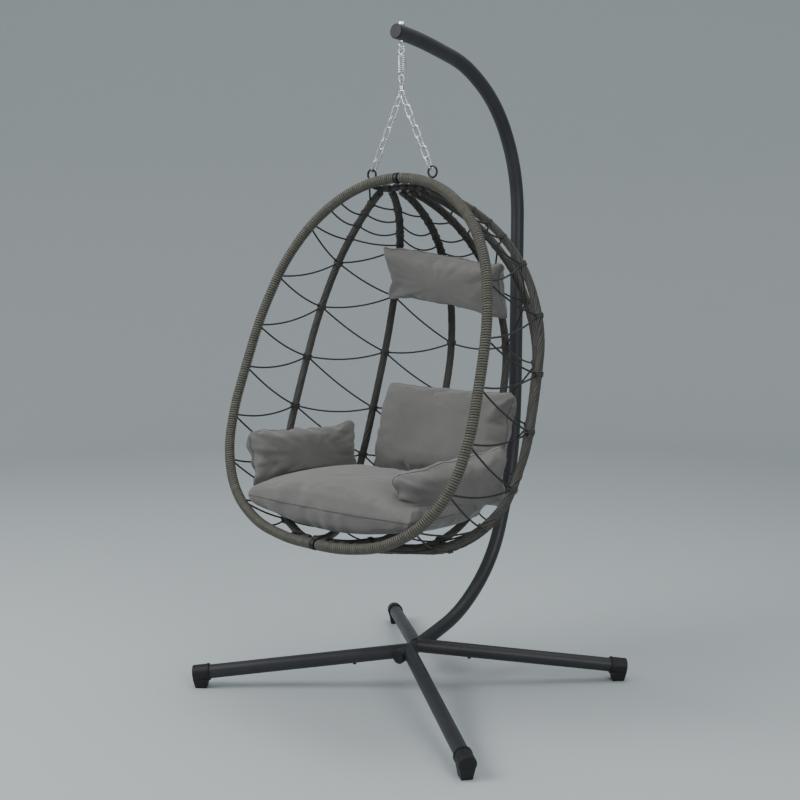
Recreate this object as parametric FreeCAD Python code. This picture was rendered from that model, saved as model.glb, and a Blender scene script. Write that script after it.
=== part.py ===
import FreeCAD, Part
import math
import os

# Hanging egg chair, in millimetres: a four-legged stand with a swan-neck mast, a hook line of
# spring, swivel and chains, and a wrapped and laced basket with five loose cushions.
# The basket faces -Y and the mast stands behind it at +Y. Z is up and the floor is Z = 0.
# Lengths below are measured from the middle of the stand; FRAME_SHIFT_Y then moves the whole
# object so that the origin lies on the floor under the middle of its width and depth.

Vector = FreeCAD.Vector
X_AXIS = Vector(1, 0, 0)
Y_AXIS = Vector(0, 1, 0)
Z_AXIS = Vector(0, 0, 1)

FRAME_SHIFT_Y = -36.0

# ---- stand ----
TUBE_R = 21.0
TUBE_WALL = 1.5
BORE_R = TUBE_R - TUBE_WALL
SPIGOT_R = BORE_R - 0.3
SPIGOT_BORE_R = SPIGOT_R - TUBE_WALL
MAST_Y = 512.0
MAST_SPLIT_Z = 960.0
MAST_SPIGOT_LENGTH = 90.0
NECK_LENGTH = 6.0
MAST_BOLT_HEIGHTS = (25.0, 65.0)
BOLT_HEAD_R = 5.5
MAST_LOW_POINTS = [(-92.0, 113.0), (35.0, 133.0), (235.0, 197.0), (375.0, 318.0), (462.0, 510.0),
                   (MAST_Y, 900.0)]
MAST_HIGH_POINTS = [(MAST_Y, 1420.0), (474.0, 1618.0), (381.0, 1762.0), (249.0, 1855.0),
                    (60.0, 1906.0), (-100.0, 1927.0)]
FRONT_LEG_ROOT = Vector(0, -45, 122)
REAR_LEG_ROOT = Vector(0, -8, 128)
FRONT_FOOT = Vector(498, -430, 45)
REAR_FOOT = Vector(448, 430, 45)
STUB_LENGTH = 132.0
LEG_SPIGOT_LENGTH = 70.0
LEG_HOLLOW_FROM = 30.0
LEG_SHOULDER_GAP = 1.2
LEG_BOLT_AT = 167.0
BOLT_R = 3.0
BOLT_HOLE_R = 3.2
BOLT_INSIDE = 11.0
BOLT_HEAD_HEIGHT = 4.0
NUT_INSIDE = (11.5, 16.3)
FOOT_R = 24.5
FOOT_LENGTH = 50.0
FOOT_END_WALL = 5.0
FOOT_END_ROUND = 3.0
FOOT_COLLAR_WIDTH = 5.0
FOOT_COLLAR_PROUD = 1.5
# Height, half length and half width of the foot's block at the floor and at its top.
FOOT_BLOCK = [(0.0, 17.0, 15.0), (30.0, 24.0, 20.0)]
PLUG_STEM = 12.0
PLUG_HEAD = 5.0
PLUG_ROUND = 2.5
PLUG_FIT = 0.2

# ---- hook line ----
HOOK_Y = -78.0
HOOK_MAST_Z = 1924.5
EYE_R = 9.0
EYE_WIRE_R = 3.0
EYE_Z = 1890.0
EYE_SHANK_R = 4.0
EYE_SHANK_UP = 31.0
EYE_NUT_UP = 23.0
EYE_WASHER_R = 9.0
EYE_WASHER_THICK = 1.6
EYE_NUT_FLATS = 13.0
EYE_NUT_THICK = 6.5
LINK_GAP = 0.1
SPRING_R = 12.0
SPRING_WIRE_R = 2.0
SPRING_TURNS = 9
SPRING_PITCH = 5.3
SPRING_LOOP_R = 9.5
SPRING_TOP_Z = 1861.0
SWIVEL_EYE_R = 7.0
SWIVEL_WIRE_R = 2.5
SWIVEL_BARREL_R = 6.5
SWIVEL_RING_R = 10.0
CHAIN_LINKS = 7
CHAIN_WIRE_R = 2.5
CHAIN_LINK_WIDTH = 23.0
CHAIN_SPREAD = 6.0

# ---- basket: the opening ring lies in a plane that leans back ----
LEAN = math.radians(19.53)
BASKET_Y = -297.0
BASKET_Z = 956.0
RING_R = 15.0
RING_CORE_R = 11.0
RING_CORE_WALL = 1.2
RING_HALF = [(0, 602), (153, 570), (279, 482), (362, 361), (403, 233), (431, 0), (434, -117),
             (413, -239), (349, -348), (243, -420), (121, -450), (0, -456)]
RING_COLLAR_WIDTH = 12.0
RING_COLLAR_UPS = (601.4, -455.6)
RING_SPIGOT_HALF = 20.0
RING_SPIGOT_GAP = 1.5
RING_COLLAR_PROUD = 0.6
RING_JOINT_GAP = 0.4
RIB_R = 12.0
RIB_CORE_R = 6.0
WRAP_GAP = 0.2
RIB_PROFILE = [(512, 312), (415, 427), (294, 501), (23, 548), (-117, 548), (-257, 515),
               (-371, 411), (-421, 239)]
# name, angle round the basket from straight behind, fullness, distance of its ends from the middle
RIBS = [("outer", 60.0, 0.925, 84.0), ("middle", 33.0, 1.0, 48.0), ("inner", 11.0, 1.073, 15.0)]
BAR_R = 7.0
BAR_BACK = 36.0
BAR_HALF = 100.0
BAR_BEND = [(9.0, 29.0), (30.0, BAR_BACK)]
BAR_END_DROP = 4.0
CROWN_S = 590.0
KEEL_S = -444.0
EYELET_X = 112.0
EYELET_Z = 1537.0
EYELET_R = 15.0
EYELET_WIRE_R = 3.0
EYELET_FOOT_UP = 582.0
CORD_R = 2.75

# ---- lacing ----
# Heights up the ring plane at which the cords tie to the ring and to each rib.
TIE_LEVELS = {
    "ring": [460, 305, 150, 21, -128, -262, -372, -430],
    "outer": [414, 280, 120, -40, -200, -320, -398],
    "middle": [494, 368, 197, 14, -140, -280, -385],
    "inner": [430, 264, 100, -70, -240, -365, -412],
}
# Loose rows near the crown: levels at the two ends, and how far the cord sags.
CROWN_ROWS = {
    ("ring", "outer"): [(588, 560, 3), (540, 540, 12), (517, 515, 14), (468, 478, 8)],
    ("outer", "middle"): [(562, 566, 6), (543, 549, 14), (516, 528, 20), (482, 500, 8)],
    ("middle", "inner"): [(566, 564, 8), (545, 541, 24), (520, 516, 28)],
}
BACK_ROWS = [(556, 6), (530, 14), (503, 16)]
# Sag of the cords that run to and fro, as a share of their length when level.
CORD_SLACK = 0.065

# ---- cushions: width, height and thickness before they are turned into place ----
SEAT_SIZE = (668.0, 438.0, 146.0)
SEAT_CENTRE = Vector(0, -224, 621)
SEAT_FRONT_CORNER = 90.0
SEAT_REAR_CORNER = 185.0
SEAT_CROWN_R = 1050.0
SEAT_RIM_R = 50.0
BACK_SIZE = (512.0, 306.0, 108.0)
BACK_CENTRE = Vector(0, 112, 769)
BACK_TILT = -17.0
HEAD_SIZE = (452.0, 192.0, 80.0)
HEAD_CENTRE = Vector(8, 109, 1226)
HEAD_TILT = 20.0
HEAD_ROLL = 7.5
ARM_LEFT_SIZE = (400.0, 192.0, 82.0)
ARM_RIGHT_SIZE = (380.0, 188.0, 84.0)
ARM_LEFT_CENTRE = Vector(-322, -152, 702)
ARM_LEFT_TURN = 79.0
ARM_RIGHT_CENTRE = Vector(281, -209, 676)
ARM_RIGHT_TURN = 72.0
ARM_RIGHT_PITCH = -8.0
ARM_TILT = 8.0
CUSHION_GAP = 2.0
# Radii of each pillow's corners and of its edges.
BACK_ROUNDS = (60.0, 48.0)
HEAD_ROUNDS = (34.0, 32.0)
ARM_ROUNDS = (50.0, 36.0)

SIDES = [("left", -1), ("right", 1)]


# ---------------------------------------------------------------- paths and basic solids
def arc_edge(start, apex, end):
    """Arc that leaves start towards apex and reaches end from it."""
    half = (end - start).Length / 2.0
    arm = (apex - start).Length
    weight = half / arm
    middle = (start + apex * (2 * weight) + end) * (1.0 / (2 + 2 * weight))
    if weight > 0.99999:
        return Part.makeLine(start, end)
    return Part.Arc(start, middle, end).toShape()


def arc_pair(start, start_dir, end, end_dir):
    """Two arcs that meet tangentially between two points with given directions."""
    chord = end - start
    total = start_dir + end_dir
    spread = 2.0 * (1.0 - start_dir.dot(end_dir))
    along = chord.dot(total)
    if spread < 1e-9:
        reach = chord.dot(chord) / (4.0 * chord.dot(end_dir))
    else:
        reach = (-along + math.sqrt(along * along + spread * chord.dot(chord))) / spread
    first = start + start_dir * reach
    second = end - end_dir * reach
    joint = (first + second) * 0.5
    return [arc_edge(start, first, joint), arc_edge(joint, second, end)]


def unit(vector):
    return vector * (1.0 / vector.Length)


def smooth_wire(points, start_dir=None, end_dir=None):
    """Tangent arcs through the points; each direction comes from a point's two neighbours."""
    count = len(points)
    dirs = [None] * count
    for i in range(1, count - 1):
        before = points[i] - points[i - 1]
        after = points[i + 1] - points[i]
        dirs[i] = unit(before * (after.Length / before.Length) + after * (before.Length / after.Length))
    first_chord = unit(points[1] - points[0])
    last_chord = unit(points[-1] - points[-2])
    dirs[0] = start_dir or unit(first_chord * (2 * first_chord.dot(dirs[1])) - dirs[1])
    dirs[-1] = end_dir or unit(last_chord * (2 * last_chord.dot(dirs[-2])) - dirs[-2])
    edges = []
    for i in range(count - 1):
        edges += arc_pair(points[i], dirs[i], points[i + 1], dirs[i + 1])
    return Part.Wire(edges)


def rod(wire, radius):
    """Round solid bar along a wire."""
    edge = wire.OrderedEdges[0]
    start = edge.valueAt(edge.FirstParameter)
    way = edge.tangentAt(edge.FirstParameter)
    if edge.Orientation == "Reversed":
        start = edge.valueAt(edge.LastParameter)
        way = edge.tangentAt(edge.LastParameter) * -1
    ring = Part.Wire([Part.makeCircle(radius, start, way)])
    solid = wire.makePipeShell([ring], True, False)
    if solid.Volume < 0:
        solid.reverse()
    return solid


def bar(start, end, radius):
    return Part.makeCylinder(radius, (end - start).Length, start, end - start)


def pipe(start, end, radius, bore):
    way = unit(end - start)
    return bar(start, end, radius).cut(bar(start - way, end + way, bore))


def loop(centre, normal, radius, wire_radius):
    return Part.makeTorus(radius, wire_radius, centre, normal)


def hexagon(centre, across_flats, height):
    corner = across_flats / math.sqrt(3)
    points = []
    for i in range(7):
        angle = math.radians(60 * i)
        points.append(centre + Vector(corner * math.cos(angle), corner * math.sin(angle), 0))
    return Part.Face(Part.makePolygon(points)).extrude(Vector(0, 0, height))


def joined(shapes):
    result = shapes[0].fuse(shapes[1:]) if len(shapes) > 1 else shapes[0]
    return result.removeSplitter()


def mirrored(point, side):
    return Vector(point.x * side, point.y, point.z)


def basket_point(x, back, up):
    """Point given across, behind and up the leaning plane of the ring."""
    y = BASKET_Y + up * math.sin(LEAN) + back * math.cos(LEAN)
    z = BASKET_Z + up * math.cos(LEAN) - back * math.sin(LEAN)
    return Vector(x, y, z)


# ---------------------------------------------------------------- stand
def mast_low_wire(top_z):
    points = [Vector(0, y, z) for y, z in MAST_LOW_POINTS]
    bend = smooth_wire(points, None, Z_AXIS)
    return Part.Wire(bend.OrderedEdges + [Part.makeLine(points[-1], Vector(0, MAST_Y, top_z))])


def mast_high_wire():
    points = [Vector(0, y, z) for y, z in MAST_HIGH_POINTS]
    bend = smooth_wire(points, Z_AXIS)
    return Part.Wire([Part.makeLine(Vector(0, MAST_Y, MAST_SPLIT_Z + 1.0), points[0])] + bend.OrderedEdges)


def leg_lines():
    """Name, root and foot of each leg."""
    lines = []
    for side_name, side in SIDES:
        lines.append(("front_" + side_name, FRONT_LEG_ROOT, mirrored(FRONT_FOOT, side)))
        lines.append(("rear_" + side_name, REAR_LEG_ROOT, mirrored(REAR_FOOT, side)))
    return lines


def leg_down(root, foot):
    """Direction square to the leg that points at the floor."""
    along = unit(foot - root)
    return unit(along * along.dot(Z_AXIS) - Z_AXIS)


def bolt_hole(root, foot):
    along = unit(foot - root)
    centre = root + along * LEG_BOLT_AT
    return bar(centre, centre + leg_down(root, foot) * (TUBE_R + 5), BOLT_HOLE_R)


def mast_bolt_holes():
    holes = []
    for height in MAST_BOLT_HEIGHTS:
        start = Vector(0, MAST_Y, MAST_SPLIT_Z + height)
        holes.append(bar(start, start + Y_AXIS * (TUBE_R + 5), BOLT_HOLE_R))
    return holes


def make_mast_lower():
    """Bent lower tube with the four leg stubs welded round its front end."""
    wire = mast_low_wire(MAST_SPLIT_Z)
    top = Vector(0, MAST_Y, MAST_SPLIT_Z)
    body = [rod(wire, TUBE_R), bar(top, top + Z_AXIS * MAST_SPIGOT_LENGTH, SPIGOT_R)]
    hollow = [rod(mast_low_wire(MAST_SPLIT_Z - NECK_LENGTH), BORE_R)]
    spigot_end = top + Z_AXIS * (MAST_SPIGOT_LENGTH + 1)
    hollow.append(bar(top - Z_AXIS * (NECK_LENGTH + 1), spigot_end, SPIGOT_BORE_R))
    for _, root, foot in leg_lines():
        along = unit(foot - root)
        shoulder = root + along * STUB_LENGTH
        end = shoulder + along * LEG_SPIGOT_LENGTH
        body.append(bar(root, shoulder, TUBE_R))
        body.append(bar(shoulder, end, SPIGOT_R))
        hollow.append(bar(root + along * LEG_HOLLOW_FROM, shoulder - along * NECK_LENGTH, BORE_R))
        hollow.append(bar(root + along * LEG_HOLLOW_FROM, end + along, SPIGOT_BORE_R))
        hollow.append(bolt_hole(root, foot))
    hollow += mast_bolt_holes()
    return joined(body).cut(hollow)


def make_mast_upper():
    wire = mast_high_wire()
    shape = rod(wire, TUBE_R).cut([rod(wire, BORE_R)] + mast_bolt_holes())
    middle = Vector(0, HOOK_Y, HOOK_MAST_Z)
    reach = Z_AXIS * (TUBE_R * 2)
    return shape.cut(bar(middle - reach, middle + reach, EYE_SHANK_R + 0.2))


def make_end_plug(end, outward):
    """Push-in plastic plug with a shallow domed head."""
    outward = unit(outward)
    stem = bar(end - outward * PLUG_STEM, end, BORE_R - PLUG_FIT)
    head = bar(end + outward * 0.1, end + outward * PLUG_HEAD, TUBE_R)
    head = head.makeFillet(PLUG_ROUND, [head.Edges[0]])
    neck = bar(end - outward, end + outward, BORE_R - 1)
    return joined([stem, head, neck])


def make_leg(root, foot):
    along = unit(foot - root)
    length = (foot - root).Length
    start = root + along * (STUB_LENGTH + LEG_SHOULDER_GAP)
    end = root + along * (length + FOOT_LENGTH / 2 - FOOT_END_WALL - 0.3)
    return pipe(start, end, TUBE_R, BORE_R).cut(bolt_hole(root, foot))


def make_foot(root, foot):
    """Plastic end cap with a tapered block that stands flat on the floor."""
    along = unit(foot - root)
    outward = unit(Vector(along.x, along.y, 0))
    across = outward.cross(Z_AXIS)
    inner = foot - along * (FOOT_LENGTH / 2)
    outer = foot + along * (FOOT_LENGTH / 2)
    cap = bar(inner, outer, FOOT_R)
    end_edges = [edge for edge in cap.Edges if edge.CenterOfMass.distanceToPoint(outer) < 0.5]
    cap = cap.makeFillet(FOOT_END_ROUND, end_edges)
    collar = bar(inner - along * 0.01, inner + along * FOOT_COLLAR_WIDTH, FOOT_R + FOOT_COLLAR_PROUD)
    sections = []
    for height, half_length, half_width in FOOT_BLOCK:
        middle = Vector(foot.x, foot.y, height)
        corners = []
        for u, v in ((-1, -1), (1, -1), (1, 1), (-1, 1), (-1, -1)):
            corners.append(middle + outward * (u * half_length) + across * (v * half_width))
        sections.append(Part.makePolygon(corners))
    block = Part.makeLoft(sections, True, True)
    bore = bar(inner - along * 2, outer - along * FOOT_END_WALL, TUBE_R + 0.15)
    return joined([cap, collar, block]).cut(bore)


def make_leg_bolts():
    bolts = []
    for _, root, foot in leg_lines():
        down = leg_down(root, foot)
        centre = root + unit(foot - root) * LEG_BOLT_AT
        head = bar(centre + down * (TUBE_R + 0.1), centre + down * (TUBE_R + BOLT_HEAD_HEIGHT), BOLT_HEAD_R)
        shank = bar(centre + down * BOLT_INSIDE, centre + down * (TUBE_R + 1), BOLT_R)
        bolts.append(joined([head, shank]))
    return bolts


def make_leg_nuts():
    nuts = []
    for _, root, foot in leg_lines():
        down = leg_down(root, foot)
        centre = root + unit(foot - root) * LEG_BOLT_AT
        near, far = [centre + down * depth for depth in NUT_INSIDE]
        nuts.append(pipe(near, far, BOLT_HEAD_R, BOLT_R + 0.05))
    return nuts


def make_mast_bolts():
    bolts = []
    for height in MAST_BOLT_HEIGHTS:
        centre = Vector(0, MAST_Y, MAST_SPLIT_Z + height)
        face = centre + Y_AXIS * (TUBE_R + 0.1)
        head = bar(face, centre + Y_AXIS * (TUBE_R + BOLT_HEAD_HEIGHT), BOLT_HEAD_R)
        shank = bar(centre + Y_AXIS * BOLT_INSIDE, centre + Y_AXIS * (TUBE_R + 1), BOLT_R)
        bolts.append(joined([head, shank]))
    return bolts


# ---------------------------------------------------------------- hook line
def make_eye_bolt():
    eye = loop(Vector(0, HOOK_Y, EYE_Z), X_AXIS, EYE_R, EYE_WIRE_R)
    foot = Vector(0, HOOK_Y, EYE_Z + EYE_R)
    shank = bar(foot, Vector(0, HOOK_Y, HOOK_MAST_Z + EYE_SHANK_UP), EYE_SHANK_R)
    return joined([eye, shank])


def make_eye_bolt_nut():
    base = Vector(0, HOOK_Y, HOOK_MAST_Z + EYE_NUT_UP)
    washer = pipe(base, base + Z_AXIS * EYE_WASHER_THICK, EYE_WASHER_R, EYE_SHANK_R + 0.05)
    nut_base = base + Z_AXIS * (EYE_WASHER_THICK + 0.1)
    nut = hexagon(nut_base, EYE_NUT_FLATS, EYE_NUT_THICK)
    nut = nut.cut(bar(base, nut_base + Z_AXIS * (EYE_NUT_THICK + 1), EYE_SHANK_R + 0.05))
    return [washer, nut]


def spring_levels():
    """Heights of the two end loops' centres and of the coil's lower end."""
    top_loop = EYE_Z - EYE_R + EYE_WIRE_R + LINK_GAP + SPRING_WIRE_R - SPRING_LOOP_R
    coil_end = SPRING_TOP_Z - SPRING_TURNS * SPRING_PITCH
    low_loop = coil_end - SPRING_WIRE_R - 1.0 - SPRING_LOOP_R
    return top_loop, coil_end, low_loop


def make_spring():
    """Close-wound spring with a hanging loop at each end."""
    top_loop, coil_end, low_loop = spring_levels()
    helix = Part.makeHelix(SPRING_PITCH, SPRING_TURNS * SPRING_PITCH, SPRING_R)
    helix.translate(Vector(0, HOOK_Y, coil_end))
    section = Part.Wire([Part.makeCircle(SPRING_WIRE_R, Vector(SPRING_R, HOOK_Y, coil_end), Y_AXIS)])
    coil = Part.Wire(helix.Edges).makePipeShell([section], True, True)
    pieces = [coil]
    for level, centre in ((SPRING_TOP_Z, top_loop), (coil_end, low_loop)):
        away = 1 if centre > level else -1
        pieces.append(loop(Vector(0, HOOK_Y, centre), Y_AXIS, SPRING_LOOP_R, SPRING_WIRE_R))
        elbow = Vector(0, HOOK_Y, level)
        pieces.append(bar(Vector(SPRING_R, HOOK_Y, level), elbow, SPRING_WIRE_R))
        pieces.append(Part.makeSphere(SPRING_WIRE_R, elbow))
        pieces.append(Part.makeSphere(SPRING_WIRE_R, Vector(SPRING_R, HOOK_Y, level)))
        pieces.append(bar(elbow, Vector(0, HOOK_Y, centre - away * SPRING_LOOP_R), SPRING_WIRE_R))
    return joined(pieces)


def swivel_levels():
    """Heights of the swivel's upper eye, barrel bottom and lower ring."""
    low_loop = spring_levels()[2]
    eye = low_loop - SPRING_LOOP_R + SPRING_WIRE_R + LINK_GAP + SWIVEL_WIRE_R - SWIVEL_EYE_R
    barrel_top = eye - SWIVEL_EYE_R - 1.5
    barrel_bottom = barrel_top - 9.0
    ring = barrel_bottom - 1.0 - SWIVEL_WIRE_R - SWIVEL_RING_R
    return eye, barrel_top, barrel_bottom, ring


def make_swivel_barrel():
    eye, top, bottom, _ = swivel_levels()
    body = joined([loop(Vector(0, HOOK_Y, eye), X_AXIS, SWIVEL_EYE_R, SWIVEL_WIRE_R),
                   bar(Vector(0, HOOK_Y, bottom), Vector(0, HOOK_Y, top), SWIVEL_BARREL_R)])
    chamber = bar(Vector(0, HOOK_Y, bottom + 2), Vector(0, HOOK_Y, bottom + 6), 4.7)
    mouth = bar(Vector(0, HOOK_Y, bottom - 1), Vector(0, HOOK_Y, bottom + 3), 2.58)
    return body.cut([chamber, mouth])


def make_swivel_ring():
    _, _, bottom, ring = swivel_levels()
    head = bar(Vector(0, HOOK_Y, bottom + 2.1), Vector(0, HOOK_Y, bottom + 5.9), 4.62)
    neck = bar(Vector(0, HOOK_Y, ring + SWIVEL_RING_R), Vector(0, HOOK_Y, bottom + 3), 2.5)
    return joined([head, neck, loop(Vector(0, HOOK_Y, ring), Y_AXIS, SWIVEL_RING_R, SWIVEL_WIRE_R)])


def chain_ends(side):
    """Contact points of a chain with the swivel ring and with the basket's eyelet."""
    ring = Vector(0, HOOK_Y, swivel_levels()[3])
    eyelet = Vector(side * EYELET_X, HOOK_Y, EYELET_Z)
    drop = math.sqrt(SWIVEL_RING_R ** 2 - CHAIN_SPREAD ** 2)
    inner = (SWIVEL_RING_R - SWIVEL_WIRE_R) / SWIVEL_RING_R
    top = ring + Vector(side * CHAIN_SPREAD * inner, 0, -drop * inner)
    bottom = eyelet + unit(top - eyelet) * (EYELET_R - EYELET_WIRE_R)
    return top, bottom


def make_link(centre, along, across, inner_length):
    """Oval chain link."""
    reach = inner_length / 2 + CHAIN_WIRE_R
    bend = CHAIN_LINK_WIDTH / 2 - CHAIN_WIRE_R
    straight = reach - bend
    corner = []
    for u, v in ((-1, 1), (1, 1), (1, -1), (-1, -1)):
        corner.append(centre + along * (u * straight) + across * (v * bend))
    top = Part.Arc(corner[1], centre + along * reach, corner[2]).toShape()
    low = Part.Arc(corner[3], centre - along * reach, corner[0]).toShape()
    wire = Part.Wire([Part.makeLine(corner[0], corner[1]), top, Part.makeLine(corner[2], corner[3]), low])
    section = Part.Wire([Part.makeCircle(CHAIN_WIRE_R, corner[0], along)])
    solid = wire.makePipeShell([section], True, False)
    if not solid.isValid():
        raise ValueError("chain link did not close")
    return solid


def make_chain(side):
    top, bottom = chain_ends(side)
    way = unit(bottom - top)
    pitch = (bottom - top).Length / CHAIN_LINKS
    links = []
    for i in range(CHAIN_LINKS):
        across = Y_AXIS if i % 2 == 0 else way.cross(Y_AXIS)
        links.append(make_link(top + way * (pitch * (i + 0.5)), way, across, pitch + 2 * LINK_GAP))
    return links


# ---------------------------------------------------------------- basket frame
def ring_wire(side):
    points = [basket_point(side * x, 0, up) for x, up in RING_HALF]
    return smooth_wire(points, Vector(side, 0, 0), Vector(-side, 0, 0))


def bar_wire(up):
    """Short bar behind the ring that gathers the ribs; its ends bend forward to the ring."""
    drop = math.copysign(BAR_END_DROP, up)
    (near_in, near_back), (far_in, far_back) = BAR_BEND
    half = [(BAR_HALF, RING_CORE_R + 0.3, up - drop), (BAR_HALF - near_in, near_back, up - drop),
            (BAR_HALF - far_in, far_back, up - drop * 0.6)]
    points = [basket_point(-x, back, s) for x, back, s in half]
    points.append(basket_point(0, BAR_BACK, up))
    points += [basket_point(x, back, s) for x, back, s in reversed(half)]
    return smooth_wire(points)


def rib_wire(side, angle, fullness, end_x):
    turn = math.radians(angle)
    points = [basket_point(side * end_x, BAR_BACK + 1, CROWN_S - BAR_R - 3.5)]
    for up, reach in RIB_PROFILE:
        x = side * reach * fullness * math.sin(turn)
        points.append(basket_point(x, reach * fullness * math.cos(turn), up))
    points.append(basket_point(side * end_x, BAR_BACK + BAR_R + 0.6, KEEL_S + 2))
    return smooth_wire(points)


def eyelet_stem(side, radius):
    foot = basket_point(side * EYELET_X, 0, EYELET_FOOT_UP)
    top = Vector(side * EYELET_X, HOOK_Y, EYELET_Z - EYELET_R)
    return bar(foot + unit(top - foot) * (RING_CORE_R - 2), top, radius)


def joint_slab(width):
    return Part.makeBox(width, 3000, 3000, Vector(-width / 2, -1500, 0))


def make_ring_core(side):
    wire = ring_wire(side)
    core = rod(wire, RING_CORE_R).cut(rod(wire, RING_CORE_R - RING_CORE_WALL))
    return core.cut(joint_slab(RING_JOINT_GAP))


def make_ring_wrap(side):
    wire = ring_wire(side)
    sleeve = rod(wire, RING_R).cut([rod(wire, RING_CORE_R + WRAP_GAP), joint_slab(RING_COLLAR_WIDTH + 1)])
    openings = [eyelet_stem(side, EYELET_WIRE_R + WRAP_GAP)]
    openings += [rod(bar_wire(up), BAR_R + WRAP_GAP) for up in (CROWN_S, KEEL_S)]
    return sleeve.cut(openings)


def make_ring_collar(up):
    half = RING_COLLAR_WIDTH / 2
    start, end = basket_point(-half, 0, up), basket_point(half, 0, up)
    return pipe(start, end, RING_R + RING_COLLAR_PROUD, RING_CORE_R + 0.7)


def make_ring_spigots():
    radius = RING_CORE_R - RING_CORE_WALL - RING_SPIGOT_GAP
    half = RING_SPIGOT_HALF
    return [bar(basket_point(-half, 0, up), basket_point(half, 0, up), radius) for up in RING_COLLAR_UPS]


def make_bar(up):
    return rod(bar_wire(up), BAR_R)


def make_eyelet(side):
    ring = loop(Vector(side * EYELET_X, HOOK_Y, EYELET_Z), Y_AXIS, EYELET_R, EYELET_WIRE_R)
    return joined([ring, eyelet_stem(side, EYELET_WIRE_R)]).cut(rod(ring_wire(side), RING_CORE_R))


def make_rib_core(side, angle, fullness, end_x):
    bars = [rod(bar_wire(up), BAR_R + 0.05) for up in (CROWN_S, KEEL_S)]
    return rod(rib_wire(side, angle, fullness, end_x), RIB_CORE_R).cut(bars)


def make_rib_wrap(side, angle, fullness, end_x):
    wire = rib_wire(side, angle, fullness, end_x)
    sleeve = rod(wire, RIB_R).cut(rod(wire, RIB_CORE_R + WRAP_GAP))
    ends = []
    for index in (0, -1):
        point = wire.OrderedVertexes[index].Point
        ends.append(Part.makeSphere(BAR_R + RIB_R, point))
    return sleeve.cut(ends)


# ---------------------------------------------------------------- lacing
def height_up(point):
    return (point - basket_point(0, 0, 0)).dot(Vector(0, math.sin(LEAN), math.cos(LEAN)))


def station(samples, level):
    """Point and direction where a sampled path passes a height."""
    for i in range(len(samples) - 1):
        high = height_up(samples[i])
        low = height_up(samples[i + 1])
        if high >= level > low:
            step = samples[i + 1] - samples[i]
            return samples[i] + step * ((high - level) / (high - low)), unit(step)
    raise ValueError("no such level on the path: %s" % level)


def cord(first, second, first_radius, second_radius, sag):
    """Cord between two wrapped members, trimmed clear of both; it hangs down by the sag."""
    start, start_way = first
    end, end_way = second
    if sag is None:
        chord = end - start
        level_share = math.hypot(chord.x, chord.y) / chord.Length
        sag = CORD_SLACK * level_share ** 2 * chord.Length
    middle = (start + end) * 0.5 - Z_AXIS * sag
    ends = []
    for point, member_way, radius in ((start, start_way, first_radius), (end, end_way, second_radius)):
        out = unit(middle - point)
        slant = out.cross(member_way).Length
        clear = (radius + 0.3 + CORD_R * abs(out.dot(member_way))) / slant
        ends.append(point + out * (clear + 0.6))
    return rod(Part.Wire([Part.Arc(ends[0], middle, ends[1]).toShape()]), CORD_R)


def zigzag(first_levels, second_levels):
    """Level pairs of a cord that runs to and fro between two members."""
    stops = sorted([(level, 0) for level in first_levels] + [(level, 1) for level in second_levels])
    stops.reverse()
    pairs = []
    for (level, member), (next_level, next_member) in zip(stops, stops[1:]):
        if member != next_member:
            pairs.append((level, next_level) if member == 0 else (next_level, level))
    return pairs


def member_paths(side):
    paths = {"ring": (ring_wire(side).discretize(500), RING_R)}
    for name, angle, fullness, end_x in RIBS:
        paths[name] = (rib_wire(side, angle, fullness, end_x).discretize(500), RIB_R)
    return paths


def make_side_lacing(side, first, second):
    paths = member_paths(side)
    first_path, first_radius = paths[first]
    second_path, second_radius = paths[second]
    rows = list(CROWN_ROWS[(first, second)])
    rows += [(a, b, None) for a, b in zigzag(TIE_LEVELS[first], TIE_LEVELS[second])]
    cords = []
    for first_level, second_level, sag in rows:
        one = station(first_path, first_level)
        two = station(second_path, second_level)
        cords.append(cord(one, two, first_radius, second_radius, sag))
    return cords


def make_back_lacing():
    left = member_paths(-1)["inner"][0]
    right = member_paths(1)["inner"][0]
    rows = BACK_ROWS + [(level, None) for level in TIE_LEVELS["inner"]]
    cords = []
    for level, sag in rows:
        cords.append(cord(station(left, level), station(right, level), RIB_R, RIB_R, sag))
    return cords


# ---------------------------------------------------------------- cushions
def pillow(size, corner, edge):
    """Upright cushion, wide along X and tall along Z, with rounded corners and edges."""
    width, height, thickness = size
    block = Part.makeBox(width, thickness, height, Vector(-width / 2, -thickness / 2, -height / 2))
    corners = [e for e in block.Edges if abs(e.tangentAt(0).y) > 0.9]
    block = block.makeFillet(corner, corners)
    rims = [e for e in block.Edges if abs(abs(e.CenterOfMass.y) - thickness / 2) < 1e-3]
    return block.makeFillet(edge, rims)


def make_seat_cushion(clearance=0.0):
    """Crowned seat with tight front corners and wide rear ones."""
    width, depth, thickness = [size + clearance for size in SEAT_SIZE]
    corner = SEAT_CENTRE - Vector(width, depth, thickness) * 0.5
    block = Part.makeBox(width, depth, thickness, corner)
    for radius, side in ((SEAT_FRONT_CORNER, -1), (SEAT_REAR_CORNER, 1)):
        upright = []
        for edge in block.Edges:
            middle = edge.CenterOfMass
            square = abs(edge.tangentAt(0).z) > 0.9 and edge.Length > thickness - 1
            if square and (middle.y - SEAT_CENTRE.y) * side > depth / 2 - 1:
                upright.append(edge)
        block = block.makeFillet(radius, upright)
    rims = [e for e in block.Edges if abs(abs(e.CenterOfMass.z - SEAT_CENTRE.z) - thickness / 2) < 1e-3]
    block = block.makeFillet(SEAT_RIM_R, rims)
    reach = SEAT_CROWN_R - thickness / 2
    for way in (-1, 1):
        block = block.common(Part.makeSphere(SEAT_CROWN_R, SEAT_CENTRE + Z_AXIS * (way * reach)))
    return block


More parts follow.
